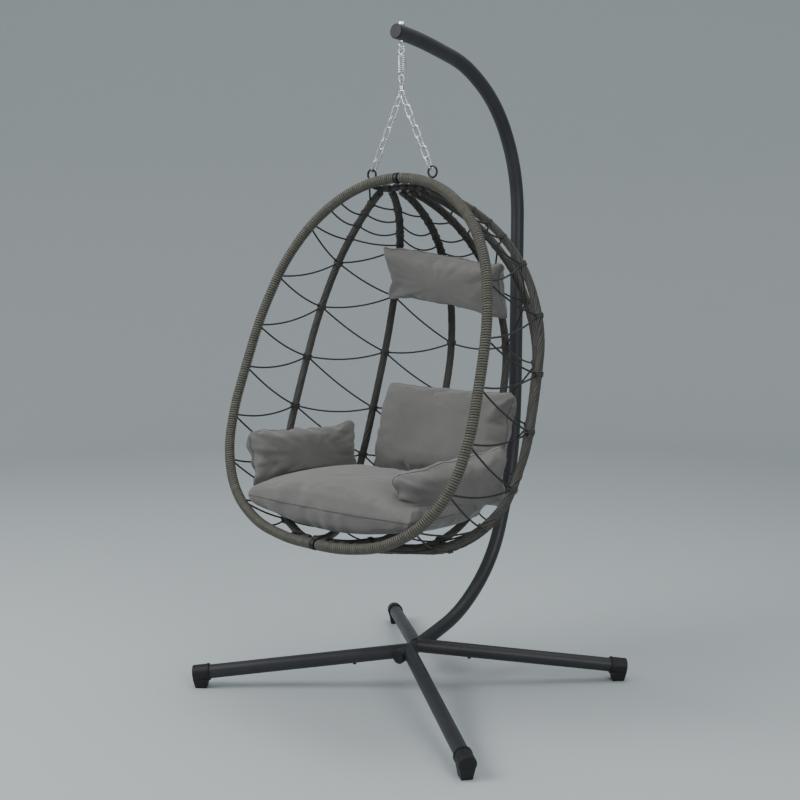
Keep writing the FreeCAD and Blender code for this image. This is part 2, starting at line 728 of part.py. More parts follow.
def place_cushion(solid, centre, tilt, turn=0.0, pitch=0.0):
    """Pitch, tilt and turn an upright cushion, then carry it to its place."""
    solid.rotate(Vector(0, 0, 0), Y_AXIS, pitch)
    solid.rotate(Vector(0, 0, 0), X_AXIS, tilt)
    solid.rotate(Vector(0, 0, 0), Z_AXIS, turn)
    solid.translate(centre)
    return solid


def make_back_cushion():
    solid = place_cushion(pillow(BACK_SIZE, *BACK_ROUNDS), BACK_CENTRE, BACK_TILT)
    return solid.cut(make_seat_cushion(CUSHION_GAP))


def make_head_cushion():
    return place_cushion(pillow(HEAD_SIZE, *HEAD_ROUNDS), HEAD_CENTRE, HEAD_TILT, 0.0, HEAD_ROLL)


def make_arm_left_cushion():
    """Leans on the side of the basket."""
    solid = pillow(ARM_LEFT_SIZE, *ARM_ROUNDS)
    solid = place_cushion(solid, ARM_LEFT_CENTRE, -ARM_TILT, ARM_LEFT_TURN)
    return solid.cut(make_seat_cushion(CUSHION_GAP))


def make_arm_right_cushion():
    """Lies turned the other way, with its front end sunk beside the seat."""
    solid = pillow(ARM_RIGHT_SIZE, *ARM_ROUNDS)
    solid = place_cushion(solid, ARM_RIGHT_CENTRE, ARM_TILT, ARM_RIGHT_TURN, ARM_RIGHT_PITCH)
    return solid.cut(make_seat_cushion(CUSHION_GAP))


# ---------------------------------------------------------------- all pieces
def all_pieces():
    """Every node and its solid, or its list of separate solids."""
    pieces = {
        "mast_lower": make_mast_lower(),
        "mast_upper": make_mast_upper(),
        "mast_joint_bolts": make_mast_bolts(),
        "leg_bolts": make_leg_bolts(),
        "leg_nuts": make_leg_nuts(),
        "eye_bolt": make_eye_bolt(),
        "eye_bolt_nut": make_eye_bolt_nut(),
        "spring": make_spring(),
        "swivel_barrel": make_swivel_barrel(),
        "swivel_ring": make_swivel_ring(),
        "ring_collar_top": make_ring_collar(RING_COLLAR_UPS[0]),
        "ring_collar_bottom": make_ring_collar(RING_COLLAR_UPS[1]),
        "ring_spigots": make_ring_spigots(),
        "crown_bar": make_bar(CROWN_S),
        "keel_bar": make_bar(KEEL_S),
        "seat_cushion": make_seat_cushion(),
        "back_cushion": make_back_cushion(),
        "head_cushion": make_head_cushion(),
        "arm_cushion_left": make_arm_left_cushion(),
        "arm_cushion_right": make_arm_right_cushion(),
        "lacing_back": make_back_lacing(),
    }
    low = mast_low_wire(MAST_SPLIT_Z).OrderedEdges[0]
    high = mast_high_wire().OrderedEdges[-1]
    low_way = low.tangentAt(low.FirstParameter)
    high_way = high.tangentAt(high.LastParameter)
    pieces["hub_end_cap"] = make_end_plug(low.valueAt(low.FirstParameter), low_way * -1)
    pieces["mast_tip_cap"] = make_end_plug(high.valueAt(high.LastParameter), high_way)
    for name, root, foot in leg_lines():
        pieces["leg_" + name] = make_leg(root, foot)
        pieces["foot_" + name] = make_foot(root, foot)
    for side_name, side in SIDES:
        pieces["chain_" + side_name] = make_chain(side)
        pieces["ring_core_" + side_name] = make_ring_core(side)
        pieces["ring_wrap_" + side_name] = make_ring_wrap(side)
        pieces["eyelet_" + side_name] = make_eyelet(side)
        for name, angle, fullness, end_x in RIBS:
            pieces["rib_core_%s_%s" % (name, side_name)] = make_rib_core(side, angle, fullness, end_x)
            pieces["rib_wrap_%s_%s" % (name, side_name)] = make_rib_wrap(side, angle, fullness, end_x)
        for first, second in CROWN_ROWS:
            node = "lacing_%s_%s" % (second, side_name)
            pieces[node] = make_side_lacing(side, first, second)
    return pieces


def write_pieces():
    os.makedirs("parts", exist_ok=True)
    for name, piece in all_pieces().items():
        shape = Part.makeCompound(piece) if isinstance(piece, list) else piece
        shape.translate(Vector(0, FRAME_SHIFT_Y, 0))
        for solid in shape.Solids:
            if not solid.isValid():
                print("check", name)
        print("%s: %d solids, %.1f cm3" % (name, len(shape.Solids), shape.Volume / 1000))
        shape.exportStep("parts/%s.step" % name)


write_pieces()
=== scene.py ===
"""Looks of the hanging egg chair: wound rattan, laced cords, stuffed cushions and metalwork."""

import math

import bpy
from bpy.props import FloatProperty, FloatVectorProperty, IntProperty, PointerProperty
from mathutils import Matrix, Vector, noise
from mathutils.bvhtree import BVHTree


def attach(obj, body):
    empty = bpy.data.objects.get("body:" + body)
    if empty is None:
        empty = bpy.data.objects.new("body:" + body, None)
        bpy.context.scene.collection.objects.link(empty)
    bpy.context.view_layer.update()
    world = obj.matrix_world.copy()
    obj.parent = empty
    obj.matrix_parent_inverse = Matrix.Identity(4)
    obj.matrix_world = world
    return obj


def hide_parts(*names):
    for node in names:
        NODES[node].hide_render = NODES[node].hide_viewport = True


bl_info = {
    "name": "Hanging Egg Chair",
    "version": (1, 0, 0),
    "blender": (4, 5, 0),
    "location": "View3D > Sidebar > Egg Chair",
    "description": "Winds the rattan, ties the lacing and stuffs the cushions of a hanging egg chair",
    "category": "Object",
}

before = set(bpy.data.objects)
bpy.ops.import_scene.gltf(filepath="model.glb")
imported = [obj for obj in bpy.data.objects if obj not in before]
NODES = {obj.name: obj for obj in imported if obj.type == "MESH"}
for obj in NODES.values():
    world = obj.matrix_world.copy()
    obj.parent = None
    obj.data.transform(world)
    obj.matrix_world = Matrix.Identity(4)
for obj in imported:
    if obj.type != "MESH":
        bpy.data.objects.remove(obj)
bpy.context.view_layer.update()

MM = 0.001
SIDES = (("left", -1), ("right", 1))

# ---- the basket's frame, in millimetres, as the part has it ----
SHIFT_Y = -36.0
LEAN = math.radians(19.53)
BASKET_Y = -297.0
BASKET_Z = 956.0
RING_HALF = [(0, 602), (153, 570), (279, 482), (362, 361), (403, 233), (431, 0), (434, -117),
             (413, -239), (349, -348), (243, -420), (121, -450), (0, -456)]
RING_R = 15.0
RING_CORE_R = 11.0
COLLAR_HALF = 6.5
RIB_R = 12.0
RIB_PROFILE = [(512, 312), (415, 427), (294, 501), (23, 548), (-117, 548), (-257, 515),
               (-371, 411), (-421, 239)]
RIBS = {"outer": (60.0, 0.925, 84.0), "middle": (33.0, 1.0, 48.0), "inner": (11.0, 1.073, 15.0)}
BAR_R = 7.0
BAR_BACK = 36.0
BAR_END = 20.0
LASH_OFFSET = 15.5
LASH_TURNS = 3.5
CROWN_UP = 590.0
KEEL_UP = -444.0

# ---- where the cords tie, as heights up the ring's plane ----
TIE_LEVELS = {
    "ring": [460, 305, 150, 21, -128, -262, -372, -430],
    "outer": [414, 280, 120, -40, -200, -320, -398],
    "middle": [494, 368, 197, 14, -140, -280, -385],
    "inner": [430, 264, 100, -70, -240, -365, -412],
}
CROWN_ROWS = {
    ("ring", "outer"): [(588, 560, 3), (540, 540, 12), (517, 515, 14), (468, 478, 8)],
    ("outer", "middle"): [(562, 566, 6), (543, 549, 14), (516, 528, 20), (482, 500, 8)],
    ("middle", "inner"): [(566, 564, 8), (545, 541, 24), (520, 516, 28)],
}
BACK_ROWS = [(556, 6), (530, 14), (503, 16)]
SLACK = 0.065
CORD_LAY = 0.018
CROWN_TIES_FROM = 440

# ---- the windings, in metres ----
STRAND_PROFILE = ((-1, -0.0033), (-0.80, -0.0014), (-0.38, -0.0002), (0.38, -0.0002), (0.80, -0.0014),
                  (1, -0.0033))
RIB_STRAND_R = 0.0030
RIB_END = 0.012
TIE_SPACING = 0.012

# ---- the cloth: how far it looks for its neighbours, how near it may come to them, how it fills ----
MEMBER_REACH = 0.016
CUSHION_REACH = 0.03
CUSHION_GAP = 0.0025
MEMBER_GAP = 0.003
FINAL_GAP = 0.0015
CUT_PROUD = 0.001
FOLD_PROUD = 0.006
CORNER_REACH = 0.26
STUFFING_FRAMES = 20
CLOTH = {"quality": 4, "mass": 0.25, "tension_stiffness": 12, "compression_stiffness": 12,
         "shear_stiffness": 4, "bending_stiffness": 0.3}

# ---- where the camera and the lamps stand ----
EYE_PLACE = (2.218, -2.810, 1.330)
EYE_TILT = 82.75
EYE_TURN = 39.52
LENS = 54.28
AIM = (0, -0.1, 0.9)


# ---------------------------------------------------------------- settings
def colour_of(name, description, default):
    return FloatVectorProperty(name=name, description=description, subtype="COLOR", size=3, default=default)


def number_of(name, description, default, **limits):
    return FloatProperty(name=name, description=description, default=default, **limits)


def length_of(name, description, default, low):
    return number_of(name, description, default, min=low, unit="LENGTH")


class RattanSettings(bpy.types.PropertyGroup):
    """Sizes and colours of the windings and cords"""

    ring_pitch: length_of("Ring winding pitch", "Distance between turns on the ring", 0.0070, 0.003)
    rib_strands: IntProperty(name="Rib strands", description="Strands laid round each rib", default=10, min=4)
    rib_lay: length_of("Rib lay", "Length of one full twist of a rib's strands", 0.15, 0.05)
    cord_radius: length_of("Cord radius", "Radius of the lacing cord", 0.00265, 0.001)
    knot_turns: number_of("Knot turns", "Turns of cord round a rib at each tie", 3.4, min=1)
    ring_colour: colour_of("Ring rattan", "Colour of the ring's flat strand", (0.098, 0.093, 0.075))
    rib_colour: colour_of("Rib rattan", "Colour of the ribs' strands", (0.047, 0.045, 0.039))
    cord_colour: colour_of("Cord", "Colour of the lacing cord", (0.024, 0.024, 0.023))


class CushionSettings(bpy.types.PropertyGroup):
    """Sizes and colours of the cushions"""

    fabric_colour: colour_of("Fabric", "Colour of the cushion cloth", (0.168, 0.162, 0.153))
    thread_colour: colour_of("Thread", "Colour of the seams", (0.085, 0.082, 0.078))
    cloth_voxel: length_of("Cloth mesh size", "Mesh size used while stuffing", 0.006, 0.003)
    pressure: number_of("Stuffing pressure", "Pressure that fills each cushion", 4.0)
    seam_radius: length_of("Seam radius", "Radius of the rolled seam", 0.0013, 0.0005)


class MetalSettings(bpy.types.PropertyGroup):
    """Colours of the stand and the hook line"""

    coat_colour: colour_of("Powder coat", "Colour of the stand's tubes", (0.029, 0.029, 0.033))
    plastic_colour: colour_of("Black plastic", "Colour of the feet and plugs", (0.010, 0.010, 0.011))
    steel_colour: colour_of("Black steel", "Colour of eyelets, bars and bolts", (0.022, 0.022, 0.023))
    zinc_colour: colour_of("Zinc", "Colour of the plated chain and spring", (0.80, 0.81, 0.83))


class StageSettings(bpy.types.PropertyGroup):
    """Floor and light"""

    floor_colour: colour_of("Floor", "Colour of the studio floor", (0.52, 0.556, 0.572))
    sky_colour: colour_of("Surround", "Colour of the soft light all round", (0.45, 0.485, 0.495))
    sky_strength: number_of("Surround strength", "Strength of the soft light", 1.0)
    key_power: number_of("Key light", "Power of the main light", 150.0, unit="POWER")
    fill_power: number_of("Fill light", "Power of the other lights", 50.0, unit="POWER")


# ---------------------------------------------------------------- points and paths
def basket_point(x, back, up):
    """Point given across, behind and up the leaning plane of the ring, in metres."""
    y = BASKET_Y + SHIFT_Y + up * math.sin(LEAN) + back * math.cos(LEAN)
    z = BASKET_Z + up * math.cos(LEAN) - back * math.sin(LEAN)
    return Vector((x, y, z)) * MM


UP_RING = Vector((0, math.sin(LEAN), math.cos(LEAN)))
BEHIND_RING = Vector((0, math.cos(LEAN), -math.sin(LEAN)))


def arc_points(start, apex, end, count):
    """Points of the arc that leaves start towards apex and reaches end from it."""
    weight = (end - start).length / 2 / (apex - start).length
    points = []
    for i in range(count):
        t = i / count
        a, b, c = (1 - t) ** 2, 2 * weight * t * (1 - t), t * t
        points.append((start * a + apex * b + end * c) / (a + b + c))
    return points


def arc_pair(start, start_way, end, end_way, count):
    """Points of two arcs that join smoothly between two points with given directions."""
    chord = end - start
    total = start_way + end_way
    spread = 2 * (1 - start_way.dot(end_way))
    along = chord.dot(total)
    if spread < 1e-9:
        reach = chord.dot(chord) / (4 * chord.dot(end_way))
    else:
        reach = (-along + math.sqrt(along * along + spread * chord.dot(chord))) / spread
    first = start + start_way * reach
    second = end - end_way * reach
    joint = (first + second) / 2
    return arc_points(start, first, joint, count) + arc_points(joint, second, end, count)


def smooth_line(points, start_way=None, end_way=None, count=24):
    """Closely spaced points of tangent arcs through a few points."""
    ways = [None] * len(points)
    for i in range(1, len(points) - 1):
        before = points[i] - points[i - 1]
        after = points[i + 1] - points[i]
        turn = before * (after.length / before.length) + after * (before.length / after.length)
        ways[i] = turn.normalized()
    first = (points[1] - points[0]).normalized()
    last = (points[-1] - points[-2]).normalized()
    ways[0] = start_way or (first * (2 * first.dot(ways[1])) - ways[1]).normalized()
    ways[-1] = end_way or (last * (2 * last.dot(ways[-2])) - ways[-2]).normalized()
    line = []
    for i in range(len(points) - 1):
        line += arc_pair(points[i], ways[i], points[i + 1], ways[i + 1], count)
    return line + [points[-1]]


class Path:
    """A line with its length and an untwisted pair of side directions all along it."""

    def __init__(self, points, side):
        self.points = points
        self.reach = [0.0]
        for a, b in zip(points, points[1:]):
            self.reach.append(self.reach[-1] + (b - a).length)
        self.length = self.reach[-1]
        self.ways = []
        for i in range(len(points)):
            ahead = points[min(i + 1, len(points) - 1)]
            behind = points[max(i - 1, 0)]
            self.ways.append((ahead - behind).normalized())
        self.sides = []
        for way in self.ways:
            side = (side - way * side.dot(way)).normalized()
            self.sides.append(side)
        self.cursor = 0

    def at(self, distance):
        """Point, direction and the two side directions at a distance along the line."""
        distance = min(max(distance, 0.0), self.length - 1e-9)
        i = self.cursor if self.reach[self.cursor] <= distance else 0
        while self.reach[i + 1] < distance:
            i += 1
        self.cursor = i
        span = self.reach[i + 1] - self.reach[i]
        t = (distance - self.reach[i]) / span if span > 0 else 0.0
        point = self.points[i].lerp(self.points[i + 1], t)
        way = self.ways[i].lerp(self.ways[i + 1], t).normalized()
        side = self.sides[i].lerp(self.sides[i + 1], t)
        side = (side - way * side.dot(way)).normalized()
        return point, way, side, way.cross(side)

    def reach_of_level(self, level):
        """Distance along the line where it passes a height up the ring's plane, going down."""
        origin = basket_point(0, 0, 0)
        for i in range(len(self.points) - 1):
            high = (self.points[i] - origin).dot(UP_RING) / MM
            low = (self.points[i + 1] - origin).dot(UP_RING) / MM
            if high >= level > low:
                return self.reach[i] + (self.reach[i + 1] - self.reach[i]) * (high - level) / (high - low)
        raise ValueError("no such level: %s" % level)


def ring_path(side):
    points = [basket_point(side * x, 0, up) for x, up in RING_HALF]
    return Path(smooth_line(points, Vector((side, 0, 0)), Vector((-side, 0, 0))), BEHIND_RING)


def rib_path(side, name):
    angle, fullness, end_x = RIBS[name]
    turn = math.radians(angle)
    points = [basket_point(side * end_x, BAR_BACK + 1, CROWN_UP - BAR_R - 3.5)]
    for up, reach in RIB_PROFILE:
        out = reach * fullness
        points.append(basket_point(side * out * math.sin(turn), out * math.cos(turn), up))
    points.append(basket_point(side * end_x, BAR_BACK + BAR_R + 0.6, KEEL_UP + 2))
    outward = Vector((side * math.sin(turn), 0, 0)) + BEHIND_RING * math.cos(turn)
    return Path(smooth_line(points), outward.cross(UP_RING))


def bar_path(up):
    drop = 4.0 if up > 0 else -4.0
    half = [(100.0, RING_CORE_R + 0.3, up - drop), (91.0, 29, up - drop), (70.0, BAR_BACK, up - drop * 0.6)]
    points = [basket_point(-x, back, level) for x, back, level in half]
    points.append(basket_point(0, BAR_BACK, up))
    points += [basket_point(x, back, level) for x, back, level in reversed(half)]
    return Path(smooth_line(points), UP_RING)


# ---------------------------------------------------------------- meshes
class Strands:
    """Collects swept strands into one mesh; each point also keeps its place along and round the strand."""

    def __init__(self):
        self.points = []
        self.faces = []
        self.marks = []

    def sweep(self, rings, marks):
        """Skin closed rings of points, with a flat cap at both ends."""
        base = len(self.points)
        count = len(rings[0])
        for ring, mark in zip(rings, marks):
            self.points += ring
            self.marks += mark
        for i in range(len(rings) - 1):
            low = base + i * count
            for k in range(count):
                n = (k + 1) % count
                self.faces.append((low + k, low + n, low + count + n, low + count + k))
        self.faces.append(tuple(reversed(range(base, base + count))))
        top = base + (len(rings) - 1) * count
        self.faces.append(tuple(range(top, top + count)))

    def tube(self, path, start, end, radius, sides=8, step=0.004, plies=0, shade=0.5):
        """Round cord along a path; plies give it the ridges of a twisted rope."""
        steps = max(2, int(math.ceil((end - start) / step)))
        rings, marks = [], []
        for i in range(steps + 1):
            reach = start + (end - start) * i / steps
            point, way, side, other = path.at(reach)
            ring, mark = [], []
            for k in range(sides):
                angle = 2 * math.pi * k / sides
                size = radius
                if plies:
                    size *= 1 + 0.10 * math.cos(plies * angle - 2 * math.pi * reach / CORD_LAY)
                ring.append(point + side * (size * math.cos(angle)) + other * (size * math.sin(angle)))
                mark.append((reach, math.sin(angle), shade))
            rings.append(ring)
            marks.append(mark)
        self.sweep(rings, marks)

    def coil(self, path, centre, radius, wire, turns, pitch, phase=0.0, shade=0.5, sides=6, around=18):
        """Turns of cord round a member, tucked in at both ends."""
        steps = int(turns * around)
        rings, marks = [], []
        for i in range(steps + 1):
            turn = i / around
            angle = phase + 2 * math.pi * turn
            reach = centre + (turn - turns / 2) * pitch
            point, way, side, other = path.at(reach)
            out = side * math.cos(angle) + other * math.sin(angle)
            tuck = min(i, steps - i) / (around * 0.35)
            lift = radius - wire * 1.3 * max(0.0, 1 - tuck)
            middle = point + out * lift
            ring, mark = [], []
            for k in range(sides):
                bend = 2 * math.pi * k / sides
                ring.append(middle + out * (wire * math.cos(bend)) + way * (wire * math.sin(bend)))
                mark.append((turn * 2 * math.pi * radius, math.sin(bend), shade))
            rings.append(ring)
            marks.append(mark)
        self.sweep(rings, marks)

    def piece(self, name, material):
        mesh = bpy.data.meshes.new(name)
        mesh.from_pydata([tuple(p) for p in self.points], [], self.faces)
        mesh.update()
        marks = mesh.attributes.new("strand", "FLOAT_VECTOR", "POINT")
        flat = [value for mark in self.marks for value in mark]
        marks.data.foreach_set("vector", flat)
        mesh.polygons.foreach_set("use_smooth", [len(face) == 4 for face in self.faces])
        return new_piece(name, mesh, material)


def new_piece(name, mesh, material):
    piece = bpy.data.objects.new(name, mesh)
    bpy.context.scene.collection.objects.link(piece)
    mesh.materials.clear()
    mesh.materials.append(material)
    mesh.validate()
    return piece


def settle(piece, body, nodes=()):
    """Put a finished piece on its body and let it stand for CAD nodes."""
    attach(piece, body)
    if nodes:
        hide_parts(*nodes)


# ---------------------------------------------------------------- materials
class Recipe:
    """A node material with one shader and short calls that add and join nodes."""

    def __init__(self, name, **shader):
        self.material = bpy.data.materials.new(name)
        self.material.use_nodes = True
        tree = self.material.node_tree
        self.nodes = tree.nodes
        self.links = tree.links
        self.shader = self.nodes["Principled BSDF"]
        for socket, value in shader.items():
            self.shader.inputs[socket.replace("_", " ")].default_value = value

    def add(self, kind, settings=None, **inputs):
        node = self.nodes.new("ShaderNode" + kind)
        for key, value in (settings or {}).items():
            setattr(node, key, value)
        for key, value in inputs.items():
            place = int(key[1:]) if key[0] == "i" and key[1:].isdigit() else key.replace("_", " ")
            self.feed(node.inputs[place], value)
        return node

    def feed(self, socket, value):
        if isinstance(value, bpy.types.NodeSocket):
            self.links.new(value, socket)
        else:
            socket.default_value = value

    def places(self, name=None):
        """Coordinates in metres on the piece, or a named attribute's vector."""
        if name:
            return self.add("Attribute", {"attribute_name": name}).outputs["Vector"]
        return self.add("TexCoord").outputs["Object"]

    def noise(self, where, scale, detail=3.0, roughness=0.5):
        node = self.add("TexNoise", Vector=where, Scale=scale, Detail=detail, Roughness=roughness)
        return node.outputs["Fac"]

    def stretched(self, where, scale):
        return self.add("VectorMath", {"operation": "MULTIPLY"}, i0=where, i1=scale).outputs["Vector"]

    def maths(self, operation, first, second):
        return self.add("Math", {"operation": operation}, i0=first, i1=second).outputs[0]

    def ramp(self, value, low, high, start=0.0, end=1.0):
        return self.add("MapRange", i0=value, i1=start, i2=end, i3=low, i4=high).outputs[0]

    def blend(self, share, first, second):
        node = self.add("Mix", {"data_type": "RGBA"}, Factor=share)
        self.feed(node.inputs[6], first)
        self.feed(node.inputs[7], second)
        return node.outputs[2]

    def colour(self, value):
        self.feed(self.shader.inputs["Base Color"], value)

    def mottled(self, value, start, end, first, second):
        """Colour that goes from the first to the second as the value goes from start to end."""
        self.colour(self.blend(self.ramp(value, 0.0, 1.0, start, end), first, second))

    def stripes(self, value, pitch):
        return self.maths("SINE", self.maths("MULTIPLY", value, 2 * math.pi / pitch), 0.0)

    def roughness(self, value):
        self.feed(self.shader.inputs["Roughness"], value)

    def bump(self, *layers):
        """Each layer is a height, its strength and its depth in metres."""
        normal = None
        for height, strength, depth in layers:
            node = self.add("Bump", Strength=strength, Distance=depth, Height=height)
            if normal:
                self.feed(node.inputs["Normal"], normal)
            normal = node.outputs["Normal"]
        self.feed(self.shader.inputs["Normal"], normal)


THREAD_PITCH = 0.0011
STITCH_PITCH = 0.0045


def shade(colour, factor):
    return tuple(min(1.0, c * factor) for c in colour) + (1.0,)


def powder_coat(colour):
    recipe = Recipe("powder_coat", Specular_IOR_Level=0.45)
    where = recipe.places()
    cloud = recipe.noise(where, 9.0)
    peel = recipe.noise(where, 1400.0, 2.0)
    recipe.mottled(cloud, 0.3, 0.7, shade(colour, 0.86), shade(colour, 1.16))
    recipe.roughness(recipe.ramp(recipe.noise(where, 40.0), 0.36, 0.5))
    recipe.bump((peel, 0.25, 0.0003))
    return recipe.material


def moulded_plastic(name, colour):
    recipe = Recipe(name, Specular_IOR_Level=0.4)
    where = recipe.places()
    scuff = recipe.noise(where, 60.0, 6.0, 0.65)
    recipe.mottled(scuff, 0.45, 0.75, shade(colour, 1.0), shade(colour, 2.0))
    recipe.roughness(recipe.ramp(scuff, 0.42, 0.66))
    recipe.bump((recipe.noise(where, 2200.0, 2.0), 0.2, 0.0002))
    return recipe.material


def black_steel(colour):
    recipe = Recipe("black_steel", Metallic=0.35, Specular_IOR_Level=0.5)
    where = recipe.places()
    worn = recipe.noise(where, 160.0, 5.0, 0.7)
    share = recipe.ramp(worn, 0.0, 0.5, 0.62, 0.8)
    recipe.colour(recipe.blend(share, shade(colour, 1.0), shade(colour, 5.0)))
    recipe.roughness(recipe.ramp(worn, 0.3, 0.5))
    recipe.bump((worn, 0.15, 0.0003))
    return recipe.material


def bright_zinc(colour):
    recipe = Recipe("bright_zinc", Metallic=1.0)
    where = recipe.places()
    spangle = recipe.add("TexVoronoi", Vector=where, Scale=420.0).outputs["Distance"]
    cloud = recipe.noise(where, 120.0, 4.0, 0.6)
    recipe.mottled(cloud, 0.35, 0.7, shade(colour, 0.7), shade(colour, 1.2))
    recipe.roughness(recipe.ramp(cloud, 0.2, 0.42))
    recipe.bump((spangle, 0.12, 0.0004), (cloud, 0.2, 0.0004))
    return recipe.material


def bare_steel():
    recipe = Recipe("bare_steel", Metallic=0.8)
    where = recipe.places()
    drawn = recipe.noise(recipe.stretched(where, (500.0, 500.0, 20.0)), 1.0, 3.0)
    recipe.colour(recipe.blend(drawn, (0.05, 0.05, 0.052, 1.0), (0.16, 0.16, 0.165, 1.0)))
    recipe.roughness(recipe.ramp(drawn, 0.35, 0.6))
    recipe.bump((drawn, 0.15, 0.0003))
    return recipe.material


def rattan(name, colour, grain=1.0, gloss=0.5):
    """Flat synthetic strand: fine lines along it, each turn a little lighter or darker than the next, and
    painted shade on the ring strand's sides down in the grooves between turns.
    """
    recipe = Recipe(name, Specular_IOR_Level=gloss)
    marks = recipe.places("strand")
    parts = recipe.add("SeparateXYZ", Vector=marks)
    lines = recipe.noise(recipe.stretched(marks, (30.0, 9.0, 7.0)), 1.0, 4.0, 0.7)
    mottle = recipe.noise(recipe.places(), 55.0, 4.0, 0.6)
    # The third mark is each turn's or strand's own tone, except on the ring strand's low groove points, where
    # its 0.2 is painted shade.
    turn = recipe.ramp(parts.outputs[2], 0.72, 1.25)
    base = recipe.blend(recipe.ramp(lines, 0.0, 1.0, 0.32, 0.68), shade(colour, 0.62), shade(colour, 1.32))
    warm = recipe.blend(recipe.ramp(mottle, 0.0, 0.55, 0.4, 0.75), base, shade(colour, 1.5))
    grey = recipe.add("CombineXYZ", X=turn, Y=turn, Z=turn).outputs[0]
    tone_and_groove_shade = recipe.add("Mix", {"data_type": "RGBA", "blend_type": "MULTIPLY"}, Factor=1.0)
    recipe.feed(tone_and_groove_shade.inputs[6], warm)
    recipe.feed(tone_and_groove_shade.inputs[7], grey)
    recipe.colour(tone_and_groove_shade.outputs[2])
    recipe.roughness(recipe.ramp(lines, 0.42, 0.62))
    recipe.bump((lines, 0.35 * grain, 0.0006), (mottle, 0.12, 0.0008))
    return recipe.material


def fabric(colour):
    """Plain woven cloth: fine crossing threads, faint slubs and soft uneven shading."""
    recipe = Recipe("grey_fabric", Specular_IOR_Level=0.22, Sheen_Weight=0.28, Sheen_Roughness=0.45)
    cloth = recipe.places("cloth")
    parts = recipe.add("SeparateXYZ", Vector=cloth)
    warp = recipe.stripes(parts.outputs[0], THREAD_PITCH)
    weft = recipe.stripes(parts.outputs[1], THREAD_PITCH)
    weave = recipe.maths("MULTIPLY", warp, weft)
    where = recipe.places()
    slub = recipe.noise(recipe.stretched(cloth, (60.0, 700.0, 60.0)), 1.0, 3.0, 0.6)
    cloud = recipe.noise(where, 11.0, 4.0, 0.55)
    fuzz = recipe.noise(where, 900.0, 2.0)
    base = recipe.blend(recipe.ramp(cloud, 0.0, 1.0, 0.3, 0.7), shade(colour, 0.9), shade(colour, 1.1))
    base = recipe.blend(recipe.ramp(slub, 0.0, 0.35, 0.45, 0.75), base, shade(colour, 1.28))
    base = recipe.blend(recipe.ramp(weave, 0.0, 0.25, -1.0, 1.0), base, shade(colour, 0.72))
    recipe.colour(base)
    recipe.roughness(recipe.ramp(fuzz, 0.7, 0.86))
    recipe.bump((weave, 0.22, 0.0004), (slub, 0.12, 0.0005), (cloud, 0.12, 0.004))
    return recipe.material


def seam_thread(colour):
    recipe = Recipe("seam_thread", Specular_IOR_Level=0.3, Sheen_Weight=0.2)
    marks = recipe.places("strand")
    parts = recipe.add("SeparateXYZ", Vector=marks)
    stitch = recipe.stripes(parts.outputs[0], STITCH_PITCH)
    recipe.mottled(stitch, -0.4, 0.5, shade(colour, 0.7), shade(colour, 1.25))
    recipe.roughness(recipe.ramp(stitch, 0.7, 0.85, -1.0, 1.0))
    recipe.bump((stitch, 0.4, 0.0006))
    return recipe.material


def stage_paper(colour):
    recipe = Recipe("stage_paper", Roughness=0.85, Specular_IOR_Level=0.2)
    tooth = recipe.noise(recipe.places(), 180.0)
    recipe.mottled(tooth, 0.3, 0.7, shade(colour, 0.99), shade(colour, 1.01))
    return recipe.material


def dress(names, material):
    """Give CAD nodes a finish without touching their meshes."""
    for name in names:
        node = NODES[name]
        if not node.material_slots:
            node.data.materials.append(material)
        for holder in node.material_slots:
            holder.link = "OBJECT"
            holder.material = material


def nodes_starting(*starts):
    return sorted(n for n in NODES if n.startswith(starts))


